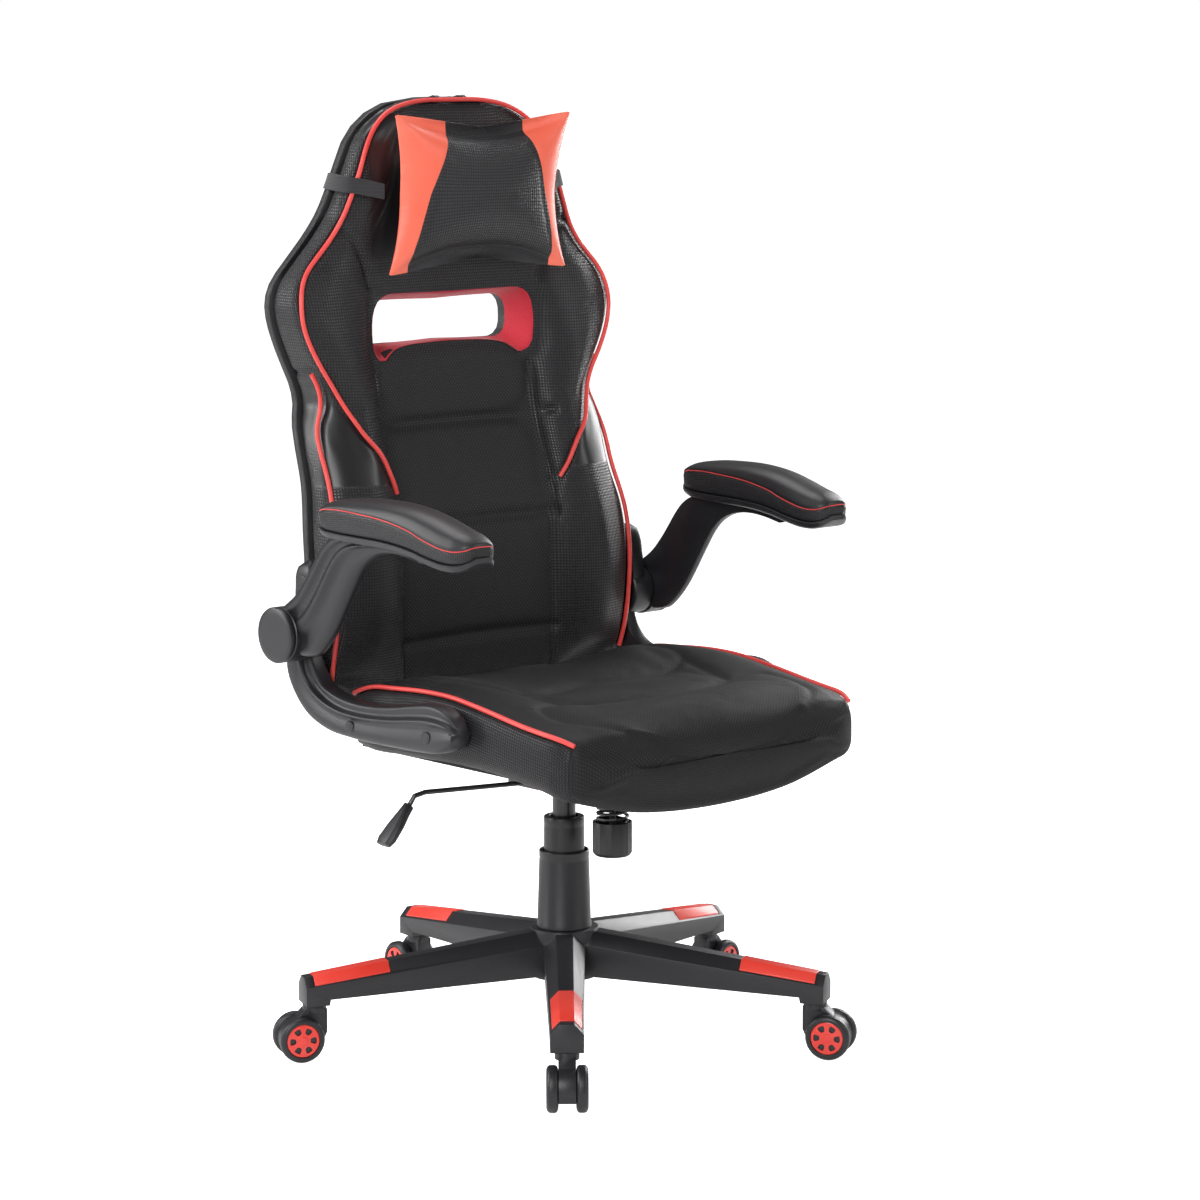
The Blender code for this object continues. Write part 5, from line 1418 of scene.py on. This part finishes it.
# %% A turned piece
def turned(name, profile, sides=48):
    """A closed profile of (radius, height) points turned about Z."""
    turns = np.linspace(0.0, math.tau, sides + 1)
    rows = [
        np.stack([r * np.cos(turns), r * np.sin(turns), np.full_like(turns, z)], axis=1)
        for r, z in profile
    ]
    if profile[0] == profile[-1]:
        return sleeve(name, rows, capped=False)
    return sleeve(name, rows)


def stood(obj, place, along):
    """Turns a piece made about Z so that Z points along a direction, and puts it in its place."""
    turn = Vector(along).to_track_quat("Z", "Y").to_matrix()
    for vertex in obj.data.vertices:
        vertex.co = turn @ vertex.co + Vector(place)
    obj.data.update()
    return obj


def on_arm_axis(name, side, x, y, z, profile, body, node=None, sides=48):
    """A turned piece whose axis lies across the chair, at a place given from the arm's pivot."""
    sign = 1 if side == "left" else -1
    part = turned(name, profile, sides)
    stood(part, Vector((sign * x, ARM_PIVOT[0] + y, ARM_PIVOT[1] + z)) + SWIVEL, (sign, 0.0, 0.0))
    smooth(part, 32)
    return fitted(painted(part, NYLON), body, "black_nylon", *([node] if node else []))


BARREL = [
    (0.0002, 0.0), (0.0285, 0.0), (0.0305, 0.0015), (0.0310, 0.004), (0.0310, 0.0285), (0.0298, 0.0300),
    (0.0002, 0.0300),
]
ROOT_DISC = [
    (0.0142, 0.0), (0.0318, 0.0), (0.0330, 0.0012), (0.0330, 0.0246), (0.0318, 0.0258), (0.0142, 0.0258),
    (0.0142, 0.0),
]
CAP = [
    (0.0002, 0.0), (0.0300, 0.0), (0.0312, 0.0006), (0.0314, 0.0016), (0.0330, 0.0022), (0.0330, 0.0050),
    (0.0322, 0.0066), (0.0305, 0.0074), (0.0250, 0.0077), (0.0002, 0.0078),
]
BOLT = [
    (0.0002, -0.003), (0.0074, -0.003), (0.0074, 0.0004), (0.0066, 0.0012), (0.0050, 0.0015),
    (0.0002, 0.0016),
]
for side in ("left", "right"):
    sculpted(f"bracket_{side}", side, BRACKET_STATIONS, BRACKET_SECTION, "seat", f"side_bracket_{side}")
    sculpted(f"bracket_upper_{side}", side, UPPER_STATIONS, UPPER_SECTION, "seat")
    on_arm_axis(f"bracket_barrel_{side}", side, 0.2398, 0.0, 0.0, BARREL, "seat")
    on_arm_axis(f"bracket_bolt_front_{side}", side, 0.2650, -0.229, -0.0945, BOLT, "seat", sides=32)
    on_arm_axis(f"bracket_bolt_rear_{side}", side, 0.2648, -0.090, -0.1010, BOLT, "seat", sides=32)
    on_arm_axis(f"bracket_bolt_upper_{side}", side, 0.2622, -0.002, 0.060, BOLT, "seat", sides=32)
    sculpted(f"arm_limb_{side}", side, ARM_STATIONS, ARM_SECTION, f"arm_rest_{side}", f"arm_{side}")
    on_arm_axis(f"arm_root_{side}", side, 0.2706, 0.0, 0.0, ROOT_DISC, f"arm_rest_{side}")
    on_arm_axis(
        f"cap_{side}", side, 0.2967, 0.0, 0.0, CAP, f"arm_rest_{side}", f"pivot_cap_{side}", sides=64,
    )
print("arms and brackets sculpted")

# %% Arm pads
PAD_CENTRE, PAD_TOE, PAD_HALF = 0.2850, 0.008, 0.0312
PAD_REAR, PAD_FRONT = 0.080, -0.181
PAD_STATIONS = (
    # place, width share, underside, stitch line, crown (Z)
    (0.000, 0.46, 0.6440, 0.6520, 0.6575),
    (0.020, 0.72, 0.6390, 0.6545, 0.6625),
    (0.060, 0.88, 0.6360, 0.6575, 0.6675),
    (0.150, 0.97, 0.6340, 0.6600, 0.6720),
    (0.310, 1.00, 0.6330, 0.6590, 0.6750),
    (0.500, 1.00, 0.6315, 0.6550, 0.6750),
    (0.650, 1.00, 0.6270, 0.6475, 0.6705),
    (0.770, 1.00, 0.6205, 0.6385, 0.6630),
    (0.862, 0.97, 0.6170, 0.6330, 0.6560),
    (0.940, 0.86, 0.6175, 0.6320, 0.6500),
    (0.980, 0.66, 0.6205, 0.6340, 0.6445),
    (1.000, 0.40, 0.6250, 0.6360, 0.6400),
)


def pad_rows(count):
    even = np.linspace(0.0, 1.0, count)
    share = np.clip(even - 0.06 * np.sin(even * math.tau), 0.0, 1.0)
    wide, low, seam, crown = curved(PAD_STATIONS, share).T
    y = mix(PAD_REAR, PAD_FRONT, share)
    return y, PAD_CENTRE - PAD_TOE * share, PAD_HALF * wide, low, seam, crown


def across_arm(side, centre, half_rings, steps):
    """Half rings about the arm's middle line, completed and put in place as a closed piece's rows."""
    rings = mirrored(np.stack(half_rings, axis=1))
    rows = rounded_rings(rings, steps + steps[::-1])
    rows[:, :, 0] += centre[:, None]
    if side == "right":
        rows[:, :, 0] *= -1
    return rows + np.array(SWIVEL)


def arm_tray(side):
    """The nylon tray that the pad is screwed to."""
    y, centre, half, low, _, _ = pad_rows(40)
    half, high, low = half * 0.955, low - 0.0006, low - 0.0006 - 0.0095 * np.clip(half / PAD_HALF, 0.6, 1.0)
    half_rings = [
        np.stack([half * u, y, mix(low, high, v)], axis=1)
        for u, v in (
            (0.0, 1.0), (0.96, 1.0), (1.0, 0.90), (1.0, 0.66), (0.975, 0.58), (0.955, 0.40), (0.88, 0.12),
            (0.72, 0.0), (0.0, 0.0),
        )
    ]
    rows = across_arm(side, centre, half_rings, (4, 1, 2, 1, 2, 3, 3, 4))
    tray = sleeve(f"arm_tray_{side}", rows)
    smooth(tray, 40)
    return fitted(painted(tray, NYLON), f"arm_rest_{side}", "black_nylon")


def arm_pad(side):
    y, centre, half, low, seam_z, crown = pad_rows(46)
    wall, dome = seam_z - low, crown - seam_z
    half_rings = []
    for u, v, w in (
        (0.0, 0.0, 0.0), (0.82, 0.0, 0.0), (0.96, 0.10, 0.0), (1.0, 0.35, 0.0), (1.0, 0.75, 0.0),
        (0.985, 1.0, 0.0), (0.93, 1.0, 0.36), (0.78, 1.0, 0.68), (0.45, 1.0, 0.93), (0.0, 1.0, 1.0),
    ):
        half_rings.append(np.stack([half * u, y, low + wall * v + dome * w], axis=1))
    rows = across_arm(side, centre, half_rings, (5, 2, 2, 3, 2, 3, 3, 4, 5))
    pad = sleeve(f"arm_pad_{side}_cover", rows, 29)
    sign = 1 if side == "left" else -1
    outer = np.stack([centre + half * 0.985, y, seam_z], axis=1)
    inner = np.stack([centre - half * 0.985, y, seam_z], axis=1)
    loop = np.vstack([outer, inner[::-1], outer[:1]]) * np.array([sign, 1.0, 1.0]) + np.array(SWIVEL)
    seam = laid_on(pad, loop, 0.004)
    held = np.maximum(
        np.exp(-((distance_to(points_of(pad), [seam]) / 0.004) ** 2)), normals_of(pad)[:, 2] < -0.7,
    )
    sunk(pad, held, 0.0015)
    swollen(pad, held, 0.003)
    shape(pad, "SUBSURF", levels=1, render_levels=1)
    sewn(pad, [seam], 0.0016, 0.0024)
    height = np.interp(-(points_of(pad)[:, 1] - SWIVEL.y), -y, seam_z)
    stored(pad, "side_wall", height - points_of(pad)[:, 2])
    painted(pad, PAD_FINISH)
    fitted(pad, f"arm_rest_{side}", "black_leather", f"arm_pad_{side}")
    thread = tube(f"pad_stitch_{side}", softened(laid_on(pad, seam, 0.003)), 0.0007, 6)
    fitted(painted(thread, RED_THREAD), f"arm_rest_{side}", "red_leather")
    return pad


def pad_finish():
    finish = Finish("arm_pad_skins", (0.012, 0.012, 0.014), 0.38)
    wall = finish.measure("side_wall").step(-0.0004, 0.0004)
    tile = tiles(finish, 0.0024)
    grain = finish.noise(700.0, 3.0)
    # Painted light: the check's raised tiles get a lighter colour as a painted highlight, its grooves a
    # darker one as painted shade.
    leather = finish.blend(tile, (0.0030, 0.0030, 0.0036), (0.024, 0.024, 0.028))
    finish.feed("Base Color", finish.blend(wall, (0.014, 0.014, 0.016), leather))
    finish.feed("Roughness", 0.40 + grain * 0.08 + wall * (0.14 - tile * 0.18))
    finish.bump(grain * 0.25 + wall * tile, 0.0005, 0.8)
    return finish


PAD_FINISH = pad_finish()
RED_THREAD = Finish("red_thread", (0.70, 0.03, 0.03), 0.6, sheen=0.2)
RED_THREAD.bump(RED_THREAD.noise(2200.0), 0.0003, 0.6)
for side in ("left", "right"):
    arm_tray(side)
    arm_pad(side)
print("arm pads covered")


# %% [markdown]
# ## Casters
# Each caster is a pair of wheels on one axle. A wheel is a turned nylon disc with rounded shoulders, and
# a red hub with six windows is pressed into its face. One wheel and one hub are made, then copied ten
# times.

# %% One wheel and one hub
WHEEL_LOW, WHEEL_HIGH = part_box("wheel_1_left")
WHEEL_RADIUS = (WHEEL_HIGH.z - WHEEL_LOW.z) / 2
WHEEL_WIDTH = 0.0138
HUB_RADIUS = WHEEL_RADIUS * 0.735
half_wheel = WHEEL_WIDTH / 2
WHEEL_PROFILE = [
    (0.0033, -half_wheel), (0.0190, -half_wheel), (0.0220, -half_wheel + 0.0003),
    (0.0252, -half_wheel + 0.0016), (0.0266, -half_wheel + 0.0034), (WHEEL_RADIUS, -half_wheel + 0.0052),
    (WHEEL_RADIUS, half_wheel - 0.0056), (0.0266, half_wheel - 0.0036), (0.0254, half_wheel - 0.0017),
    (0.0232, half_wheel - 0.0004), (0.0214, half_wheel), (HUB_RADIUS + 0.0004, half_wheel - 0.0004),
    (HUB_RADIUS + 0.0003, half_wheel - 0.0016), (HUB_RADIUS + 0.0002, half_wheel - 0.0050),
    (0.0033, half_wheel - 0.0050), (0.0033, -half_wheel),
]
wheel_master = turned("wheel_master", WHEEL_PROFILE, 64)
hub_master = turned(
    "hub_master",
    [
        (0.0002, half_wheel - 0.0002), (0.0050, half_wheel - 0.0003), (0.0056, half_wheel - 0.0010),
        (HUB_RADIUS - 0.0014, half_wheel - 0.0010), (HUB_RADIUS - 0.0004, half_wheel - 0.0013),
        (HUB_RADIUS, half_wheel - 0.0020), (HUB_RADIUS, half_wheel - 0.0046), (0.0002, half_wheel - 0.0046),
    ],
    64,
)
HOLE_CIRCLE = 0.0123
HOLE_RADIUS = 0.0037


def hub_hole(angle):
    """A rounded-corner window cutter, wider away from the hub's middle."""
    outline = []
    for k in range(28):
        t = math.tau * k / 28
        out, side = math.cos(t), math.sin(t)
        squared = (abs(out) ** 3.2 + abs(side) ** 3.2) ** (1 / 3.2)
        r, w = HOLE_RADIUS * out / squared, HOLE_RADIUS * side / squared
        w *= 1 + 0.22 * r / HOLE_RADIUS
        outline.append(((HOLE_CIRCLE + r) * math.cos(angle) - w * math.sin(angle),
                        (HOLE_CIRCLE + r) * math.sin(angle) + w * math.cos(angle)))
    outline.append(outline[0])
    return sleeve(
        "hub_hole", [[(x, y, z) for x, y in outline] for z in (half_wheel - 0.0030, half_wheel + 0.004)],
    )


for k in range(6):
    cut_away(hub_master, hub_hole(math.tau * k / 6))
shape(hub_master, "BEVEL", width=0.00035, segments=2, limit_method="ANGLE", angle_limit=math.radians(40))
smooth(hub_master, 35)
print("wheel:", len(wheel_master.data.polygons), "faces, hub:", len(hub_master.data.polygons), "faces")


# %% The hub's finish: red on its face, dark in its windows
def hub_finish():
    finish = Finish("red_hub_plastic", (0.78, 0.04, 0.03), 0.30, coat=0.2)
    deep = finish.measure("window_depth").step(0.2, 0.8)
    cloud = finish.noise(60.0, 3.0)
    red = finish.blend(cloud, (0.72, 0.034, 0.026), (0.84, 0.060, 0.042))
    finish.feed("Base Color", finish.blend(deep, red, (0.016, 0.016, 0.018)))
    finish.feed("Roughness", 0.28 + cloud * 0.10 + deep * 0.2)
    finish.bump(finish.noise(1500.0), 0.0001, 0.3)
    return finish


HUB_FINISH = hub_finish()
hub_depth = points_of(hub_master)
at_floor = (hub_depth[:, 2] < half_wheel - 0.0020) & (
    np.hypot(hub_depth[:, 0], hub_depth[:, 1]) < HUB_RADIUS - 0.0015
)
stored(hub_master, "window_depth", at_floor * 1.0)

# %% Ten wheels and ten hubs
for k in range(1, 6):
    centres = {}
    for side in ("left", "right"):
        low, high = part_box(f"wheel_{k}_{side}")
        centres[side] = (low + high) / 2
    outward = (centres["left"] - centres["right"]).normalized()
    for side, sign in (("left", 1), ("right", -1)):
        for master, name, finish, slot in (
            (wheel_master, f"tyre_{k}_{side}", NYLON, "black_nylon"),
            (hub_master, f"hub_{k}_{side}", HUB_FINISH, "red_plastic"),
        ):
            piece = stood(copied(master, name), centres[side], outward * sign)
            painted(piece, finish)
            nodes = [f"wheel_{k}_{side}"] if master is wheel_master else []
            fitted(piece, f"wheels_{k}", slot, *nodes)
bpy.data.objects.remove(wheel_master, do_unlink=True)
bpy.data.objects.remove(hub_master, do_unlink=True)

# %% [markdown]
# ## The column
# Two nylon covers slide over the gas lift like a telescope, so that no grease shows. Each is turned, with
# a thin rolled rim at its top.

# %% Column covers
LOWER_LOW, LOWER_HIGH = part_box("cover_lower")
MIDDLE_LOW, MIDDLE_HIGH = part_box("cover_middle")


def column_piece(name, profile, node, body, finish, slot):
    part = at_chair(turned(name, profile, 72))
    smooth(part, 30)
    return fitted(painted(part, finish), body, slot, node)


low_z, high_z = LOWER_LOW.z, LOWER_HIGH.z
column_piece(
    "lower_column_cover",
    [
        (0.0308, low_z), (0.0325, low_z), (0.0330, low_z + 0.0006), (0.0330, low_z + 0.004),
        (0.0322, low_z + 0.006), (0.0300, high_z - 0.012), (0.0296, high_z - 0.0095),
        (0.0300, high_z - 0.008), (0.0300, high_z - 0.0012), (0.0294, high_z - 0.0002), (0.0284, high_z),
        (0.0275, high_z - 0.0004), (0.0272, high_z - 0.002), (0.0300, low_z + 0.004), (0.0308, low_z),
    ],
    "cover_lower", "base", NYLON, "black_nylon",
)
low_z, high_z = MIDDLE_LOW.z, MIDDLE_HIGH.z
column_piece(
    "middle_column_cover",
    [
        (0.0223, low_z), (0.0240, low_z), (0.0245, low_z + 0.0006), (0.0243, high_z - 0.013),
        (0.0239, high_z - 0.0105), (0.0243, high_z - 0.009), (0.0243, high_z - 0.0016),
        (0.0237, high_z - 0.0004), (0.0225, high_z), (0.0176, high_z), (0.0170, high_z - 0.0006),
        (0.0170, high_z - 0.0026), (0.0215, high_z - 0.0030), (0.0223, high_z - 0.006), (0.0223, low_z),
    ],
    "cover_middle", "middle_cover", NYLON, "black_nylon",
)

# %% [markdown]
# ## Under the seat
# The seat board is given the finish of the black non-woven sheet that is stapled under it to keep dust out.

# %% Dust cover
def dust_finish():
    finish = Finish("black_dust_cover", (0.012, 0.012, 0.013), 0.85)
    dimple = finish.noise(300.0, 2.0)
    finish.feed("Base Color", finish.blend(dimple, (0.006, 0.006, 0.007), (0.022, 0.022, 0.024)))
    finish.bump(dimple, 0.0006, 0.6)
    return finish

# %% [markdown]
# ## The elastic band
# A ribbed elastic band runs round the head panel and holds the pillow.

# %% The band
BAND_LOW, BAND_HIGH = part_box("headrest_strap")
BAND_FALL = (1.0, 0.45, 0.35, 0.25, 0.0, 0.0, 0.0, 0.0, 0.0)
BAND_DROP = 0.012
BAND_WIDTH = 0.018
BAND_THICK = 0.0016


def band_path(offset, height):
    """One edge of the band, from the pillow's left side round the back to its right side."""
    right = []
    for step, fall in enumerate(BAND_FALL):
        z = height - BAND_DROP * fall
        share = (z - BACK_LOW.z) / (BACK_HIGH.z - BACK_LOW.z)
        wide, rear, edge, _, crest_y, _ = curved(BACK_STATIONS, np.array([share]))[0]
        half = BACK_HALF_WIDTH * wide
        behind, bulge = rear + offset, rear + PANEL_BULGE + offset
        stops = (
            (0.1285, crest_y - 0.009 - offset), (half - 0.012, edge - offset - 0.001),
            (half - 0.003, edge - offset + 0.002), (half + offset, edge + 0.008),
            (half + offset, rear - 0.008), (half + offset - 0.004, behind - 0.002), (half * 0.92, behind),
            (half * 0.5, mix(behind, bulge, 0.82)), (0.0, bulge),
        )
        right.append((*stops[step], z))
    return np.array(right + [(-x, y, z) for x, y, z in right[-2::-1]])


def band_edge(offset, height):
    return resampled(band_path(offset, height), 0.005)


middle_height = (BAND_LOW.z + BAND_HIGH.z + BAND_DROP) / 2
near, far = 0.0011, 0.0011 + BAND_THICK
inside_low, inside_high = band_edge(
    near, middle_height - BAND_WIDTH / 2,
), band_edge(near, middle_height + BAND_WIDTH / 2)
outside_low, outside_high = band_edge(
    far, middle_height - BAND_WIDTH / 2,
), band_edge(far, middle_height + BAND_WIDTH / 2)
count = min(len(edge) for edge in (inside_low, inside_high, outside_low, outside_high))
spots = np.linspace(0.0, 1.0, count)
edges = []
for edge in (inside_low, inside_high, outside_high, outside_low, inside_low):
    places = np.linspace(0.0, 1.0, len(edge))
    edges.append(np.column_stack([np.interp(spots, places, edge[:, k]) for k in range(3)]))
band = sleeve("pillow_band", np.stack(edges, axis=1) + np.array(SWIVEL))
painted(smooth(band, 40), ELASTIC_BAND)
fitted(band, "seat", "elastic_band", "headrest_strap")

# %% Every engineering piece still showing gets its finish
SLOT_FINISHES = {
    "black_nylon": NYLON, "black_steel": PAINTED_STEEL, "bright_steel": BRIGHT_STEEL,
    "plywood": dust_finish(),
}
kept = []
for name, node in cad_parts.items():
    slot = node.data.materials[0].name
    if not node.hide_render and slot in SLOT_FINISHES:
        node.data.materials[0] = SLOT_FINISHES[slot].material
        kept.append(name)
print(len(kept), "engineering pieces keep their own shape:", ", ".join(kept))

# %% Measure and finish
sizes = {"frame": [list(p) for p in CAD_BOX], "finished": [list(p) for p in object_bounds()]}
for name, (low, high) in sizes.items():
    print(name, [round((b - a) * 1000, 1) for a, b in zip(low, high)], "mm")
